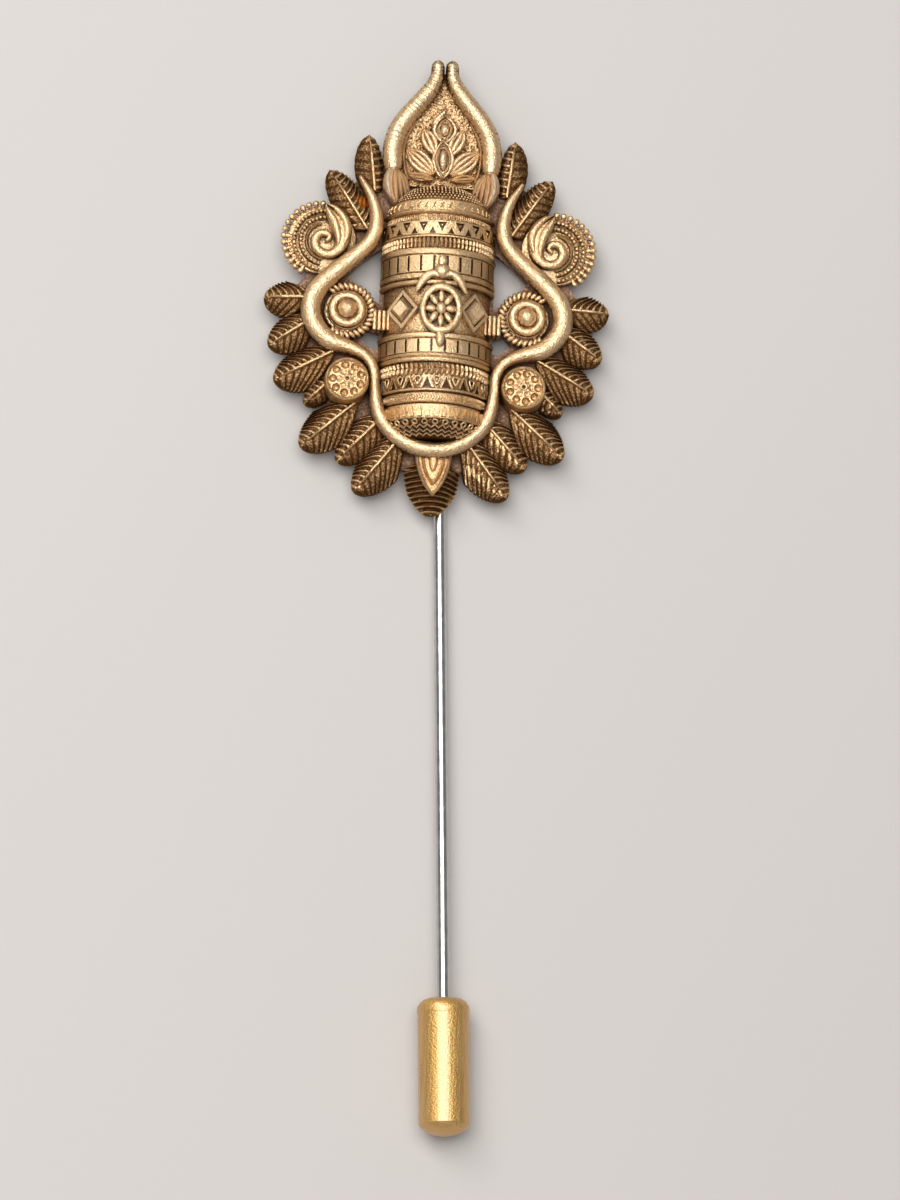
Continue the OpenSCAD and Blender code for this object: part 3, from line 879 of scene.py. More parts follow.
class PIN_OT_tail_leaf(bpy.types.Operator):
    """Models the broad leaf at the bottom with its stepped drop"""

    bl_idname = "pin.tail_leaf"
    bl_label = "Tail leaf"

    def execute(self, context):
        leaf = blade("tail_leaf", TAIL_LENGTH, (TAIL_HALF, TAIL_HALF), tail_share, 0.08, 0.52,
                     2.0 * size("rib_depth"), midrib=0)
        place_at(leaf, *TAIL_FOOT, PLATE_TOP, -90)
        outline = SHIELD + [(0, -4.2)] + [(-x, y) for x, y in SHIELD[::-1]]
        shield = plate_of("tail_shield", [(x + SHIELD_AT[0], y + SHIELD_AT[1]) for x, y in outline],
                          PLATE_TOP + 0.3, PLATE_TOP + 0.95)
        parts = [shield, place_at(grain("tail_drop", 2.6, 0.95, 0.42, 12), 0.15, -14.6, PLATE_TOP + 0.95)]
        for wide, long, thick in ((1.66, 4.05, 0.36), (1.08, 2.95, 0.3)):
            edge = [(wide, 0.3, 0.8), (wide * 0.98, -long * 0.12, 1), (wide * 0.8, -long * 0.43, 1),
                    (wide * 0.45, -long * 0.75, 1), (0, -long, 0.7)]
            parts += twins(ridge("tail_edge", edge, thick, 0.6, PLATE_TOP + 1.0), *SHIELD_AT)
        for part in parts:
            note(part, "worn", lambda vertex: 0.0 if part is shield else 1.0)
        settle(join("tail_leaf", leaf, *parts), "leaf", "leaf_wreath", angle=60)
        return {"FINISHED"}


# ---- The rail and the crown

# Right halves of their paths, in (x, y, share of the full width) rows
RAIL_RIGHT = [(8.05, 13.75, 0.25), (7.6, 13.0, 0.35), (7.0, 12.0, 0.5), (6.5, 10.6, 0.62), (6.32, 9.1, 0.74),
              (6.65, 7.7, 0.79), (7.65, 6.35, 0.83), (9.15, 4.95, 0.87), (10.7, 3.55, 0.93), (12.1, 1.9, 0.97),
              (12.6, 0.0, 1), (12.0, -1.75, 0.98), (10.54, -3.1, 0.92), (8.73, -3.66, 0.72), (7.0, -4.5, 0.62),
              (6.1, -5.95, 0.6), (5.95, -7.8, 0.63), (5.6, -9.8, 0.73), (4.85, -11.35, 0.77),
              (3.55, -12.6, 0.79), (1.9, -13.45, 0.8)]
CROWN_RIGHT = [(4.9, 15.4, 0.94), (4.97, 16.3, 1), (4.9, 17.4, 1), (4.55, 18.8, 1), (3.75, 20.25, 0.96),
               (2.75, 21.55, 0.93), (1.8, 22.75, 0.88), (1.1, 23.8, 0.79), (0.76, 24.8, 0.7), (0.72, 25.7, 0.67)]
CROWN_LEDGE = [(3.35, 14.0, 0.7), (3.74, 15.2, 1), (3.9, 16.4, 1), (3.84, 17.6, 1), (3.45, 18.8, 0.9),
               (2.8, 20.0, 0.6)]
PANEL_FOOT = [(3.2, 13.4), (3.45, 13.6), (3.75, 14.5), (4.2, 15.2)]


def reach_at(edge, y):
    """How far out an edge of (x, y) rows lies at this y."""
    for (x1, y1), (x2, y2) in zip(edge, edge[1:]):
        if y1 <= y <= y2:
            return x1 + (x2 - x1) * (y - y1) / (y2 - y1)
    return 0


class PIN_OT_rail(bpy.types.Operator):
    """Models the smooth tube that runs round the drum from hook to hook"""

    bl_idname = "pin.rail"
    bl_label = "Rail"

    def execute(self, context):
        width, height = size("rail_width"), size("rail_height")
        rows = [(-x, y, share) for x, y, share in RAIL_RIGHT] + [(0, -13.75, 0.8)] + RAIL_RIGHT[::-1]
        tube = sweep("rail_tube", rounded_ends(smooth_path(rows, 4), width / 2), width, height, RAIL_Z, sides=20)
        settle(tube, "rail", "rail")
        return {"FINISHED"}


def stipple(place):
    """The panel's rough ground, from -1 to 1."""
    return 0.5 * noise.noise(place * 9.5) + 0.5 * noise.noise(place * 17.3)


class PIN_OT_crown(bpy.types.Operator):
    """Models the crown's two tubes and the stippled panel between them"""

    bl_idname = "pin.crown"
    bl_label = "Crown"

    def execute(self, context):
        width = size("crown_tube")
        path = rounded_ends(smooth_path(CROWN_RIGHT, 4), width / 2)
        tube = note_along(sweep("crown_tube_right", path, width, width, CROWN_Z, sides=20), path)
        settle_both(tube, "crown", "crown_arch", angle=40)
        ledge = ridge("crown_ledge_right", CROWN_LEDGE, 0.42, 0.8, PANEL_TOP + 0.1)
        settle_both(ledge, "rail", "crown_arch", angle=40)

        edge = PANEL_FOOT + [(x - 0.1, y) for x, y, _ in CROWN_RIGHT]
        panel = start("grid", "crown_panel", x_subdivisions=116, y_subdivisions=140, size=1)

        def is_outside(face):
            place = face.calc_center_median()
            return place.y <= PANEL_FOOT[0][1] or abs(place.x) >= reach_at(edge, place.y)

        with whole(panel):
            resize(10, 12, 1)
            move(0, 19.2, PANEL_TOP)
            pick(panel, is_outside, "FACE")
            bpy.ops.mesh.delete(type="FACE")
        note(panel, "worn", lambda vertex: 0.55 + 0.8 * stipple(vertex.co))
        shift(panel, lambda place: 0.15 * stipple(place))
        with whole(panel):
            extrude(z=-0.45)
            outward()
        settle(panel, "panel", "crown_arch")
        return {"FINISHED"}


# ---- The drum

# Place along the drum and radius there, upwards in each list
LOW_DOME = [(-12.75, 3.3), (-12.65, 3.5), (-12.4, 3.82), (-12.05, 4.2), (-11.65, 4.53), (-11.24, 4.75)]
HIGH_DOME = [(11.28, 4.62), (11.7, 4.36), (12.1, 4.06), (12.5, 3.66), (12.85, 3.18), (13.1, 2.7), (13.25, 2.2),
             (13.3, 1.6)]
DRUM_PROFILE = [(-11.2, 4.95), (-11.1, 5.03), (-10.4, 5.06), (-9.8, 5.06), (-9.68, 4.95), (-9.64, 4.93),
                (-9.6, 5.1), (-9.5, 5.2), (-9.1, 5.27), (-8.7, 5.22), (-8.6, 5.1), (-8.55, 5.1), (-8.52, 5.3),
                (-8.45, 5.46), (-8.36, 5.48), (-8.28, 5.44), (-8.22, 5.3), (-8.2, 5.15), (-6.9, 5.18), (-5.6, 5.2),
                (-5.57, 5.35), (-5.5, 5.55), (-5.38, 5.63), (-5.22, 5.63), (-5.1, 5.52), (-5.05, 5.5),
                (-4.98, 5.58), (-4.85, 5.62), (-4.74, 5.57), (-4.7, 5.45), (-4.66, 5.45), (-4.6, 5.53),
                (-3.28, 5.53), (-3.2, 5.45), (-3.16, 5.45), (-3.1, 5.58), (-2.95, 5.65), (-2.7, 5.63), (-2.58, 5.5),
                (-2.53, 5.18), (2.24, 5.18), (2.27, 5.4), (2.35, 5.58), (2.5, 5.65), (2.68, 5.6), (2.78, 5.46),
                (2.84, 5.4), (2.9, 5.46), (3.0, 5.6), (3.2, 5.65), (3.4, 5.6), (3.5, 5.48), (3.56, 5.44),
                (3.62, 5.53), (5.28, 5.53), (5.35, 5.44), (5.39, 5.45), (5.45, 5.58), (5.6, 5.64), (5.85, 5.63),
                (6.02, 5.55), (6.08, 5.4), (6.12, 5.24), (7.1, 5.24), (7.13, 5.4), (7.2, 5.6), (7.32, 5.62),
                (7.39, 5.5), (7.42, 5.45), (7.47, 5.53), (8.8, 5.53), (8.88, 5.47), (8.92, 5.2), (8.98, 5.1),
                (9.62, 5.08), (9.68, 5.2), (9.74, 5.36), (9.84, 5.44), (9.96, 5.4), (10.04, 5.25), (10.07, 5.05),
                (10.12, 4.98), (10.6, 4.98), (11.15, 4.86), (11.24, 4.76)]
DRUM_STEPS = 112

# The emblem's right arm, in (x, y, share) rows
EMBLEM_ARM = [(0.3, 3.2, 0.7), (0.95, 3.35, 0.9), (1.6, 3.0, 1), (2.1, 2.35, 0.9), (2.45, 1.65, 0.5)]

# The real barrel is a little wider than it is high
DRUM_WIDENING = 1.035

# Degrees from one to the next round the drum
SLOT_PITCH = 360 / 27
TOOTH_PITCH = 18.6
LATTICE_PITCH = 20.0

# Rows of raised strokes: length, width, height, lean, place along the drum, radius, count, pitch, tilt, sides
STROKES = [(0.85, 0.13, 0.12, -28, 10.62, 4.92, 19, 9.0, -5, 6), (0.6, 0.1, 0.1, 22, 10.5, 4.94, 19, 9.0, -5, 6),
           (0.55, 0.12, 0.08, 12, 9.3, 5.08, 63, 2.55, 0, 6), (0.75, 0.36, 0.3, 5, 6.88, 5.24, 37, 4.5, 0, 8),
           (0.65, 0.3, 0.26, -5, 6.36, 5.24, 37, 4.5, 0, 8), (0.75, 0.4, 0.3, 14, -5.95, 5.2, 31, 5.4, 0, 8),
           (0.8, 0.38, 0.3, -14, -6.5, 5.2, 31, 5.4, 0, 8), (0.5, 0.1, 0.1, 35, -8.95, 5.25, 55, 2.9, 0, 6),
           (0.5, 0.1, 0.1, -35, -9.25, 5.25, 55, 2.9, 0, 6)]

# Zigzags on the lower dome: place, radius, tilt, pitch. Crumbs on the upper one: place, radius, count, pitch
ZIGZAGS = [(-11.86, 4.36, 42, 8.9), (-12.2, 4.0, 48, 9.7), (-12.5, 3.64, 52, 10.6)]
CRUMBS = [(11.55, 4.44, 33, 4.6), (11.85, 4.24, 32, 4.8), (12.15, 4.0, 29, 5.1), (12.45, 3.7, 27, 5.5),
          (12.72, 3.34, 23, 6.2), (12.95, 2.96, 19, 7.0)]
WAVE = [(-0.35, 0), (0, 0.36), (0.35, 0)]


def drum_turning(name, rows):
    """A turned piece round the drum's axis, cut off over the plate."""
    piece = lathe(name, [(0, rows[0][0])] + [(radius, place) for place, radius in rows] + [(0, rows[-1][0])],
                  steps=DRUM_STEPS)
    with whole(piece):
        turn(-90, "X")
        move(*DRUM_AXIS)
    return cut_below(piece, SEAT)


def drum_slots(low, high):
    """Cutters for the upright slots of a band, between two places along the drum."""
    slot = start("cube", "slots", size=1)
    with whole(slot):
        resize(0.22, high - low, 0.7)
    return round_drum(on_drum(slot, (low + high) / 2, 5.62), 12, SLOT_PITCH)


def drum_teeth(half, foot, tip, radius, count, pitch):
    """Cutters for a row of pointed gaps, from this half width at the foot, and narrower above."""
    low = radius + DRUM_AXIS[2]
    tooth = plate_of("teeth", [(-half, foot), (half, foot), (0, tip)], low, low + 1)
    with editing(tooth):
        pick(tooth, lambda v: v.co.z > low + 0.5)
        move(z=-0.3)
    return round_drum(tooth, count, pitch)


def strokes(length, width, height, lean, place, radius, count, pitch, tilt, sides):
    """One row of raised strokes round the drum."""
    stroke = place_at(grain("strokes", length, width, height, sides, blunt=1.15), 0, 0, 0, lean)
    return round_drum(on_drum(stroke, place, radius, tilt), count, pitch)


def lozenge(side):
    """A faceted stone and its frame, on one side of the emblem."""
    stone = start("cone", "lozenge", vertices=4, radius1=1, radius2=0.6, depth=0.8)
    with whole(stone):
        resize(1.25, 1.4, 1)
        turn(side * -13, "Y")
        move(z=5.55)
    border = start("circle", "lozenge_frame", vertices=4, radius=1.32, fill_type="NGON")
    with whole(border):
        resize(1.4, 1.5, 1)
        bpy.ops.mesh.inset(thickness=0.2)
        bpy.ops.mesh.inset(thickness=0.12)
        pick(border, lambda f: f.calc_center_median().length < 0.1, "FACE")
        bpy.ops.mesh.delete(type="FACE")
        pick_all()
        extrude(z=0.36)
        outward()
        move(z=5.06)
    for shape in (stone, border):
        with whole(shape):
            move(z=DRUM_AXIS[2])
            turn(side * 40, "Y", about=DRUM_AXIS)
            move(y=-0.12)
    return [stone, border]


def finish_drum(piece, finish, angle=50):
    """Widens a piece of the drum as a whole and settles it."""
    with whole(piece):
        resize(x=DRUM_WIDENING)
    settle(piece, finish, "drum", angle=angle)


class PIN_OT_drum(bpy.types.Operator):
    """Models the banded half barrel with its slots, teeth and raised rows"""

    bl_idname = "pin.drum"
    bl_label = "Drum"

    def execute(self, context):
        barrel = drum_turning("drum_barrel", DRUM_PROFILE)
        low_dome = drum_turning("drum_foot", LOW_DOME)
        high_dome = drum_turning("drum_head", HIGH_DOME)
        for cutter in (drum_slots(-4.56, -3.3), drum_slots(3.68, 5.24),
                       drum_teeth(0.46, 8.7, 7.72, 5.34, 9, TOOTH_PITCH),
                       drum_teeth(0.42, -8.15, -7.15, 4.95, 8, LATTICE_PITCH),
                       drum_teeth(0.34, 7.5, 8.2, 5.36, 8, TOOTH_PITCH)):
            combine(barrel, cutter)
        for piece, finish in ((barrel, "drum"), (low_dome, "dome"), (high_dome, "dome")):
            finish_drum(piece, finish, 35)

        heart = start("cone", "tooth_hearts", vertices=3, radius1=0.27, radius2=0.12, depth=0.2,
                      rotation=(0, 0, math.pi))
        rows = [round_drum(on_drum(heart, 8.38, 5.42), 9, TOOTH_PITCH)] + [strokes(*row) for row in STROKES]
        eyelet = hoop("lattice_eyelets", 0.3, 0.11, 14, 8)
        with editing(eyelet):
            pick(eyelet, lambda v: v.co.y < -0.05)
            resize(0.7, 1.6, 1)
        rows.append(round_drum(on_drum(eyelet, -7.3, 5.3), 9, LATTICE_PITCH))
        for side, lift in ((1, 0.03), (-1, 0)):
            bar = [(side * x, y) for x, y in ((0.48, -8.2), (0.66, -8.2), (0.16, -6.95), (-0.02, -6.95))]
            rows.append(round_drum(plate_of("lattice_bars", bar, 5.05 + DRUM_AXIS[2], 5.36 + DRUM_AXIS[2] + lift),
                                   8, LATTICE_PITCH))
        fang = plate_of("fangs", [(-0.24, -11.05), (0.24, -11.05), (0.05, -10.05), (-0.05, -10.05)],
                        4.9 + DRUM_AXIS[2], 5.36 + DRUM_AXIS[2])
        rows.append(round_drum(fang, 19, 8.6))
        rows.append(round_drum(on_drum(hoop("loops", 0.25, 0.1, 12, 6), -11.48, 4.72, tilt=38), 13, 12.0))
        for place, radius, tilt, pitch in ZIGZAGS:
            zigzag = plate_of("zigzag", WAVE + [(x, y - 0.16) for x, y in WAVE[::-1]], -0.1, 0.22)
            rows.append(round_drum(on_drum(zigzag, place, radius, tilt), 17, pitch))
        crumbs = [cut_below(round_drum(on_drum(ball("crumbs", (0, 0, 0), 0.13, fine=1), place, radius), count, pitch),
                            SEAT) for place, radius, count, pitch in CRUMBS]
        for row in rows:
            cut_below(row, SEAT)
        finish_drum(join("drum_rows", *rows), "drum")
        finish_drum(join("drum_crumbs", *crumbs), "drum")
        finish_drum(join("lozenges", *lozenge(-1), *lozenge(1)), "lozenge", 20)
        return {"FINISHED"}


class PIN_OT_emblem(bpy.types.Operator):
    """Models the raised ornament on the drum's front, a ring with petals"""

    bl_idname = "pin.emblem"
    bl_label = "Emblem"

    def execute(self, context):
        ring = hoop("emblem_ring", 1.82, 0.34, 48, 12)
        petals = copies_round(place_at(grain("emblem_petals", 1.15, 0.68, 0.32, 10), 0, 1.0), 8, 315, (0, 0, 0),
                              (0, 0, 1))
        flower = join("emblem_flower", ring, petals, ball("emblem_hub", (0, 0, 0.1), 0.52, 0.8, 3))
        with whole(flower):
            resize(y=1.22)
        place_at(over_drum(flower, 5.82), 0.15, -0.25)
        arm = sweep("emblem_arms", rounded_ends(smooth_path(EMBLEM_ARM, 4), 0.45), 0.9, 0.7, 0, 12)
        arms = place_at(over_drum(join("emblem_arms", arm, mirrored(arm, "emblem_arm")), 5.75), 0.15, 0)
        leaf = place_at(grain("emblem_leaf", 1.5, 0.95, 0.32, 10), 0.15, 4.6, 5.68 + DRUM_AXIS[2])
        bead = ball("emblem_bead", (0.15, 3.6, 5.62 + DRUM_AXIS[2]), 0.8, 0.8, 3)
        drop = place_at(grain("emblem_drop", 2.0, 0.95, 0.42, 12), 0.15, -3.15, 5.72 + DRUM_AXIS[2])
        settle(join("emblem_ornament", flower, arms, leaf, bead, drop), "rail", "emblem", angle=60)
        return {"FINISHED"}


# ---- The ornaments on the plate

# Petals of the lotus: length, width, ribs, place of the foot, turn
PETALS = [(2.95, 1.5, 3, (0.78, 16.65), -26), (3.75, 1.85, 4, (0.86, 14.65), -49), (2.5, 0.95, 3, (0.91, 14.05), -82)]
FLAME = [(-0.92, 19.5, 0.6), (-0.78, 20.1, 1), (-0.3, 20.65, 0.9), (0.06, 21.1, 0.7), (0.16, 21.6, 0.35)]

# Ribs of a sepal: width, height, then the rows of the path
SEPAL_RIBS = [(1.05, 2.1, [(4.62, 15.55, 0.35), (5.15, 14.6, 0.8), (5.35, 13.4, 1), (5.12, 12.3, 0.85),
                           (4.6, 11.4, 0.35)]),
              (0.5, 2.0, [(4.6, 15.5, 0.4), (4.66, 13.9, 1), (4.52, 12.5, 1), (4.35, 11.5, 0.5)]),
              (0.46, 1.8, [(4.55, 15.4, 0.4), (4.26, 13.9, 1), (4.04, 12.6, 1), (3.86, 11.8, 0.5)]),
              (0.42, 1.6, [(4.5, 15.2, 0.4), (3.9, 13.9, 1), (3.62, 12.8, 1), (3.42, 12.05, 0.5)]),
              (0.38, 1.35, [(4.4, 15.0, 0.4), (3.6, 14.0, 1), (3.3, 13.0, 1), (3.12, 12.45, 0.5)])]


def lens_borders(x, y, z, rows):
    """Pointed ovals on the panel round one place, from rows of length, width, thickness, height and rise."""
    made = []
    for length, width, thick, high, rise in rows:
        reach, half = length / 2, width / 2
        edge = [(0, -reach, 0.4), (half * 0.62, -reach * 0.62, 0.7), (half, 0, 1), (half * 0.62, reach * 0.62, 0.7),
                (0, reach, 0.4)]
        made += twins(ridge("border", edge, thick, high, z + rise), x, y)
    return made


class PIN_OT_lotus(bpy.types.Operator):
    """Models the lotus and the drop on the crown's panel"""

    bl_idname = "pin.lotus"
    bl_label = "Lotus"

    def execute(self, context):
        low = PANEL_TOP + 0.05
        parts = lens_borders(0.08, 16.05, low, [(4.0, 1.92, 0.4, 0.42, 0.64), (3.2, 1.36, 0.24, 0.42, 0.74)])
        parts += [place_at(grain("lotus_bead", 2.6, 1.05, 0.98, 16), 0.08, 16.05, low + 0.1),
                  place_at(grain("lotus_bed", 3.9, 1.9, 0.62, 16), 0.08, 16.05, low),
                  place_at(grain("lotus_bud", 2.75, 2.25, 0.62, 16), 0.16, 19.2, low)]
        parts += lens_borders(0.16, 19.2, low, [(2.85, 2.15, 0.42, 0.46, 0.56), (2.1, 1.3, 0.3, 0.46, 0.72)])
        parts += [place_at(grain("bud_bead", 1.5, 1.05, 0.75, 12), 0.16, 19.15, low + 0.35),
                  ridge("bud_flame", FLAME, 0.6, 0.7, low + 0.35)]
        for length, width, ribs, foot, angle in PETALS:
            made = [place_at(grain("petal_bed", length, width, 0.2, 12), 0, length / 2, low)]
            for rib in range(ribs):
                bow = (rib - (ribs - 1) / 2) / (ribs / 2) * width * 0.52
                curve = [(bow * 0.3, 0.1, 0.6), (bow * 0.95, length * 0.35, 1), (bow * 0.95, length * 0.68, 0.9),
                         (bow * 0.15, length * 0.97, 0.4)]
                made.append(ridge("petal_rib", curve, width / ribs * 1.1, 0.85, low + 0.18, 10))
            petal = place_at(join("lotus_petal", *made), *foot, 0, angle)
            parts += [petal, place_at(mirrored(petal, "lotus_petal"), 0.12, 0)]
        settle(join("lotus_flower", *parts), "lotus", "lotus", angle=60)
        return {"FINISHED"}


class PIN_OT_sepals(bpy.types.Operator):
    """Models the ribbed buds at the feet of the crown"""

    bl_idname = "pin.sepals"
    bl_label = "Sepals"

    def execute(self, context):
        ribs = [ridge("sepal_rib", rows, width, high, SEAT + high * 0.4, 10) for width, high, rows in SEPAL_RIBS]
        bed = place_at(grain("sepal_bed", 3.9, 2.1, 0.8, 12), 4.45, 13.4, SEAT)
        right = cut_below(join("sepal_bud_right", bed, *ribs), SEAT)
        settle_both(right, "sepal", "sepal_right")
        return {"FINISHED"}


# Middles of the right scroll's disc and of its spiral
SCROLL_AT = (11.7, 7.32)
SPIRAL_AT = (11.16, 7.1)

# The curl from its pointed petal inwards, in (x, y, share) rows from the spiral's middle with x towards the drum, and
# then the two lobes of the petal
CURL = [(-0.2, 3.6, 0.12), (0.35, 2.95, 0.45), (0.95, 2.1, 0.8), (1.42, 1.1, 0.92), (1.5, 0.1, 0.8),
        (1.15, -0.8, 0.62), (0.4, -1.3, 0.53), (-0.5, -1.22, 0.5), (-1.12, -0.6, 0.5), (-1.18, 0.2, 0.48),
        (-0.75, 0.78, 0.44), (-0.12, 0.82, 0.4), (0.2, 0.4, 0.34), (-0.02, 0.1, 0.26)]
CURL_OUTER = [(-0.1, 3.75, 0.15), (0.75, 3.3, 0.7), (1.6, 2.3, 1), (1.95, 1.2, 1), (1.8, 0.2, 0.7), (1.5, -0.5, 0.3)]
CURL_INNER = [(-0.28, 3.6, 0.15), (0.15, 2.7, 0.8), (0.7, 1.75, 1), (1.0, 0.8, 0.9), (1.1, 0.0, 0.6),
              (1.0, -0.5, 0.3)]

# The path, width, height and middle's height over the seat of each of the three
CURLS = ((CURL, 2.0, 1.5, 0.9), (CURL_OUTER, 0.95, 1.3, 1.12), (CURL_INNER, 1.0, 1.3, 1.2))

# The ropes inside the beaded rim: middle, then radius, thickness and beads of each
ROPES_AT = (11.4, 7.2)
ROPES = ((3.15, 0.24, 23), (2.5, 0.26, 19))


def arc(middle, radius, degrees):
    """Rows of a path round a middle, one for each of these degrees."""
    return [(middle[0] + radius * math.cos(angle), middle[1] + radius * math.sin(angle), 1)
            for angle in map(math.radians, degrees)]


class PIN_OT_scrolls(bpy.types.Operator):
    """Models the two spirals with their scalloped ropes and beaded rims"""

    bl_idname = "pin.scrolls"
    bl_label = "Scrolls"

    def execute(self, context):
        parts = [lathe("scroll_disc", [(0, SEAT), (3.45, SEAT), (3.5, SEAT + 0.35), (3.35, SEAT + 0.5),
                                       (0, SEAT + 0.5)], 48, (*SCROLL_AT, 0))]
        for number in range(15):
            degrees = 90 - number * 10.6
            long, wide = (0.85, 0.36) if number < 8 else (1.25, 0.5)
            stem = grain("scroll_bead", long, wide, 0.34, 8)
            bead = ball("scroll_bead", (0, long / 2 - 0.2, 0.05), size("scroll_bead"))
            x, y, _ = arc(SCROLL_AT, 3.98 - long / 2, [degrees])[0]
            parts.append(place_at(join("scroll_bead", bead, stem), x, y, SEAT + 0.36, degrees - 90))
        for radius, thick, count in ROPES:
            parts.append(ridge("scroll_rope", arc(ROPES_AT, radius, range(98, -79, -11)), thick, 0.8, SEAT + 0.62))
            for x, y, _ in arc(ROPES_AT, radius - 0.1, [97 - number * 174 / (count - 1) for number in range(count)]):
                parts.append(ball("scroll_rope", (x, y, SEAT + 0.9), 0.22, 0.9, 1))
        parts.append(ridge("scroll_wire", arc((11.35, 7.15), 1.88, range(72, -91, -15)), 0.36, 0.7, SEAT + 0.68))
        for rows, width, high, z in CURLS:
            line = smooth_path([(SPIRAL_AT[0] - x, SPIRAL_AT[1] + y, share) for x, y, share in rows], 4)
            parts.append(sweep("scroll_curl", rounded_ends(line, width / 2), width, high, SEAT + z, 16))
        right = cut_below(join("scroll_curl_right", *parts), SEAT)
        settle_both(right, "cast", "scroll_right")
        return {"FINISHED"}


EYE_AT = (8.95, 0.13)
EYE_DISH = [(0, 0), (2.3, 0), (2.35, 0.5), (2.2, 0.75), (2.02, 0.8), (2.0, 1.1), (1.92, 1.16), (1.84, 1.1),
            (1.8, 0.95), (0, 0.95)]
EYE_LIP = [(0, 0.9), (1.12, 0.9), (1.12, 1.5), (1.05, 1.55), (0.98, 1.45), (0, 1.3)]


class PIN_OT_eyes(bpy.types.Operator):
    """Models the ringed balls with their roped rims and ribbed lugs"""

    bl_idname = "pin.eyes"
    bl_label = "Eyes"

    def execute(self, context):
        x, y = EYE_AT
        parts = [lathe("eye_dish", EYE_DISH, 40, (x, y, SEAT)),
                 hoop("eye_ring", 1.43, 0.43, 48, 14, (x, y, SEAT + 1.3)),
                 lathe("eye_lip", EYE_LIP, 40, (x, y, SEAT)),
                 ball("eye_ball", (x, y, SEAT + 1.42), 0.99, 1.0, 4)]
        for number in range(23):
            knot = place_at(grain("eye_rope", 1.05, 0.56, 0.46, 10), 2.5, 0, SEAT + 0.72, 62)
            parts.append(place_at(knot, x, y, 0, 52 + number * 11.4))
        lugs = []
        for number in range(4):
            rib = start("cube", "eye_lug", size=1)
            with whole(rib):
                resize(0.4, 2.1, 1.5)
                move(4.82 + number * 0.45, y - 0.95, SEAT + 0.76)
                bpy.ops.mesh.bevel(offset=0.17, segments=3, affect="EDGES")
            lugs.append(rib)
        settle_both(join("eye_lug_right", *lugs), "drum", "eye_right")
        settle_both(join("eye_knob_right", *parts), "rail", "eye_right")
        return {"FINISHED"}


ROSETTE_AT = (8.75, -7.3)
ROSETTE_CUP = [(0, 0), (2.3, 0), (2.32, 0.25), (2.16, 2.2), (2.18, 2.5), (2.15, 2.7), (2.03, 2.78), (1.9, 2.7),
               (1.83, 2.55), (1.3, 2.66), (0.7, 2.76), (0, 2.8)]

# Rings of dimples: radius of one, depth, count, distance from the middle, height of the cup there
DIMPLES = ((0.42, 0.3, 9, 1.45, 2.64), (0.34, 0.14, 6, 0.82, 2.74), (0.18, 0.16, 1, 0, 2.8))


class PIN_OT_rosettes(bpy.types.Operator):
    """Models the round cups with their knobs and dimples"""

    bl_idname = "pin.rosettes"
    bl_label = "Rosettes"

    def execute(self, context):
        cup = lathe("rosette_cup", ROSETTE_CUP, 48)
        for wide, deep, count, out, high in DIMPLES:
            radius = (wide ** 2 + deep ** 2) / (2 * deep)
            for number in range(count):
                dimple = ball("rosette_dimple", (out, 0, high + radius - deep), radius, 1.0, 4)
                combine(cup, place_at(dimple, 0, 0, 0, 360 * number / count))
        knob = hoop("rosette_knob", 0.28, 0.12, 16, 8, (0, 0, 2.82))
        right = place_at(join("rosette_dish_right", cup, knob), *ROSETTE_AT, SEAT)
        settle_both(right, "rosette", "rosette_right", angle=50)
        return {"FINISHED"}


# ---- The needle and its cap

# Height of the cap's round end, and the walls of its bore, from the bottom out to the mouth
CAP_DOME = 1.62
CAP_BORE = [(0, 9.5), (0.55, 9.5), (0.65, 9.35), (0.65, 0.35), (0.78, 0.1), (1.2, 0.0)]


class PIN_OT_cap(bpy.types.Operator):
    """Models the bored cap that is pushed over the point"""

    bl_idname = "pin.cap"
    bl_label = "Cap"

    def execute(self, context):
        barrel, length = size("cap_width") / 2, size("cap_length")
        mouth, dome = barrel + 0.09, barrel * 1.05
        lip = [(mouth - 1.0 * (1 - math.sin(angle)), 1.15 * (1 - math.cos(angle)))
               for angle in map(math.radians, range(0, 91, 10))]
        tip = [(dome * math.cos(angle), length - CAP_DOME + CAP_DOME * math.sin(angle))
               for angle in map(math.radians, range(18, 90, 6))]
        profile = CAP_BORE + lip + [(mouth, 1.2), (barrel + 0.02, 1.5), (barrel, 1.7)] + tip + [(0, length)]
        cap = lathe("cap_barrel", profile, 64, (0, 0, NEEDLE_SHOWN))
        settle(on_needle(cap), "gold", "cap", body=CAP, angle=20)
        return {"FINISHED"}


class PIN_OT_plain_parts(bpy.types.Operator):
    """Gives the needle and the boss their finishes"""

    bl_idname = "pin.plain_parts"
    bl_label = "Needle and boss"

    def execute(self, context):
        for node, finish in (("needle", "steel"), ("back_boss", "rail")):
            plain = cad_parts[node]
            plain.data.materials.clear()
            plain.data.materials.append(finishes(finish))
        return {"FINISHED"}


# ---- The stage

# Lamps: name, place, size in metres, watts, colour. All look at one place
LAMPS = (("key_softbox", (-0.45, 0.46, 0.72), 0.42, 2.8, (1.0, 0.985, 0.96)),
         ("top_softbox", (-0.11, 0.05, 0.95), 0.76, 9.9, (1.0, 0.985, 0.97)),
         ("front_softbox", (0.10, -0.80, 0.50), 0.70, 0.5, (0.99, 0.985, 1.0)))
LIT_PLACE = Vector((0, -0.02, 0))

# The camera looks at this place from this far, in millimetres, and these are its turns round the pin, over the floor
# and round its own line of sight, in degrees
SEEN_PLACE, SEEN_FROM = Vector((2.50552, -27.98869, 0)), 643.385
CAMERA_TURNS = (-17, 77.17, 19.34)


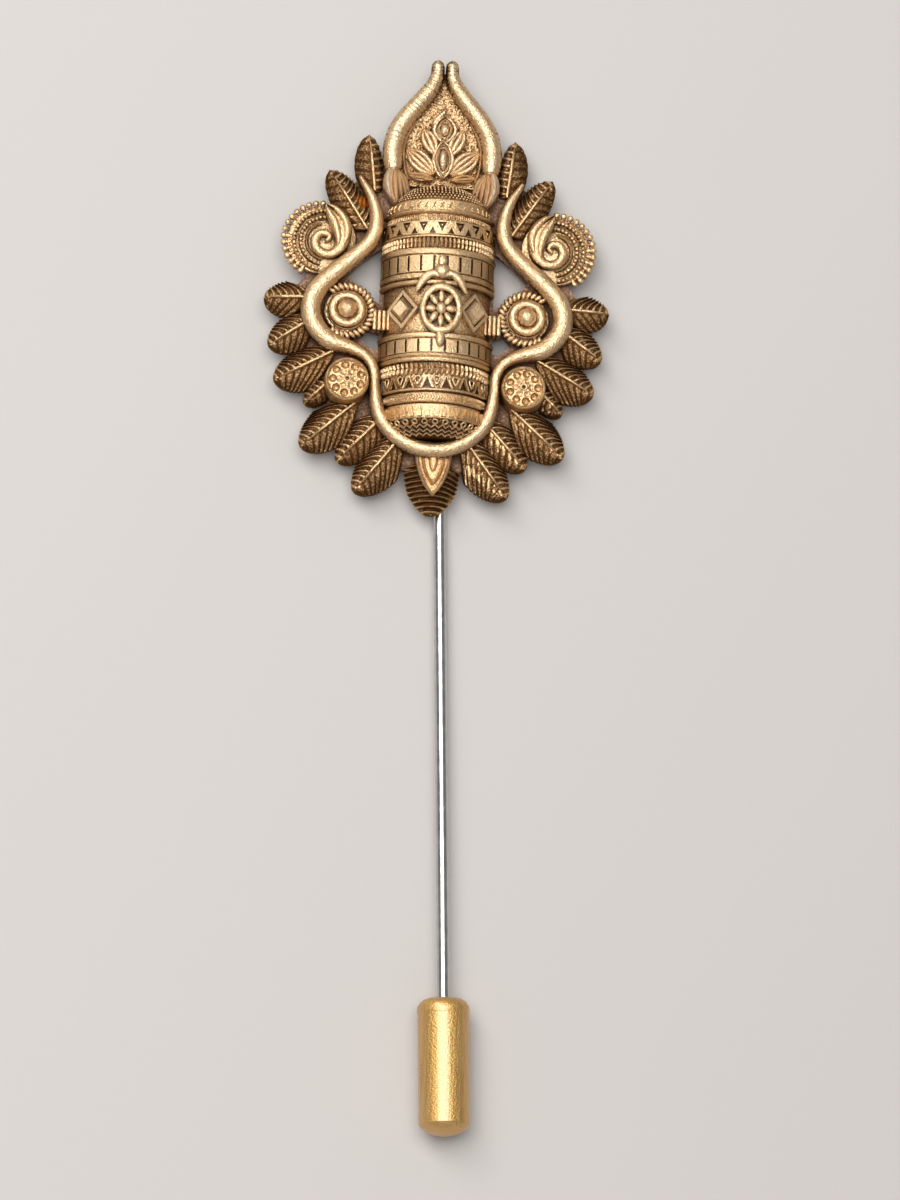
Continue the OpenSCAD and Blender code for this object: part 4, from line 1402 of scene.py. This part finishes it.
class PIN_OT_stage(bpy.types.Operator):
    """Lays the pale surface, sets the soft studio light and places the camera"""

    bl_idname = "pin.stage"
    bl_label = "Stage"

    def execute(self, context):
        floor = start("plane", "floor", size=4)
        finish = Finish("floor_with_painted_falloff", Roughness=0.85, Specular_IOR_Level=0.2)
        # Painted light: the floor darkens towards +X and -Y, a painted falloff of the lamps, with soft random patches
        light_falloff = finish.node("ShaderNodeVectorMath", {"operation": "DOT_PRODUCT"},
                             {0: finish.place(), 1: (5.0, -1.5, 0)}, output="Value")
        shade = finish.mix(finish.curve(finish.noise(9, 3) * 0.25 + light_falloff + 0.35, (0.0, 0), (1.0, 1)),
                           context.scene.pin_colours.floor, (0.480, 0.457, 0.436, 1))
        finish.bump(finish.noise(900, 2), 0.1, 0.0002)
        floor.data.materials.append(finish.surface(Base_Color=shade))

        for name, place, size, watts, colour in LAMPS:
            bpy.ops.object.light_add(type="AREA", location=place)
            lamp = context.active_object
            lamp.name = name
            lamp.data.size, lamp.data.energy, lamp.data.color = size, watts, colour
            lamp.rotation_euler = (LIT_PLACE - Vector(place)).to_track_quat("-Z", "Y").to_euler()

        context.scene.world = bpy.data.worlds.new("studio")
        context.scene.world.use_nodes = True
        background = context.scene.world.node_tree.nodes["Background"]
        background.inputs["Color"].default_value = (0.93, 0.95, 1.0, 1)
        background.inputs["Strength"].default_value = 0.27

        around, up, roll = map(math.radians, CAMERA_TURNS)
        back = Vector((math.cos(up) * math.sin(around), -math.cos(up) * math.cos(around), math.sin(up)))
        bpy.ops.object.camera_add(location=(SEEN_PLACE + back * SEEN_FROM) * METRES)
        camera = context.active_object
        right = (-back).cross(Vector((0, 0, 1))).normalized()
        above = right.cross(-back)
        side = right * math.cos(roll) + above * math.sin(roll)
        top = -right * math.sin(roll) + above * math.cos(roll)
        camera.rotation_mode = "QUATERNION"
        camera.rotation_quaternion = Matrix((side, top, back)).transposed().to_quaternion()
        camera.data.sensor_fit = "AUTO"
        camera.data.sensor_width = camera.data.sensor_height = 24
        camera.data.lens = 130
        context.scene.camera = camera
        context.scene.view_settings.view_transform = "Standard"
        return {"FINISHED"}


class PIN_PT_panel(bpy.types.Panel):
    bl_label = "Lapel pin"
    bl_idname = "PIN_PT_panel"
    bl_space_type = "VIEW_3D"
    bl_region_type = "UI"
    bl_category = "Lapel pin"

    def draw(self, context):
        for operator in OPERATORS:
            self.layout.operator(operator.bl_idname)


OPERATORS = (PIN_OT_plate, PIN_OT_leaves, PIN_OT_tail_leaf, PIN_OT_rail, PIN_OT_crown, PIN_OT_drum, PIN_OT_emblem,
             PIN_OT_lotus, PIN_OT_sepals, PIN_OT_scrolls, PIN_OT_eyes, PIN_OT_rosettes, PIN_OT_cap,
             PIN_OT_plain_parts, PIN_OT_stage)
CLASSES = (PinSizes, PinColours) + OPERATORS + (PIN_PT_panel,)


def register():
    for part in CLASSES:
        bpy.utils.register_class(part)
    bpy.types.Scene.pin_sizes = bpy.props.PointerProperty(type=PinSizes)
    bpy.types.Scene.pin_colours = bpy.props.PointerProperty(type=PinColours)


def unregister():
    del bpy.types.Scene.pin_sizes
    del bpy.types.Scene.pin_colours
    for part in reversed(CLASSES):
        bpy.utils.unregister_class(part)


def main():
    register()
    for operator in OPERATORS:
        family, name = operator.bl_idname.split(".")
        getattr(getattr(bpy.ops, family), name)()


if __name__ == "__main__":
    main()
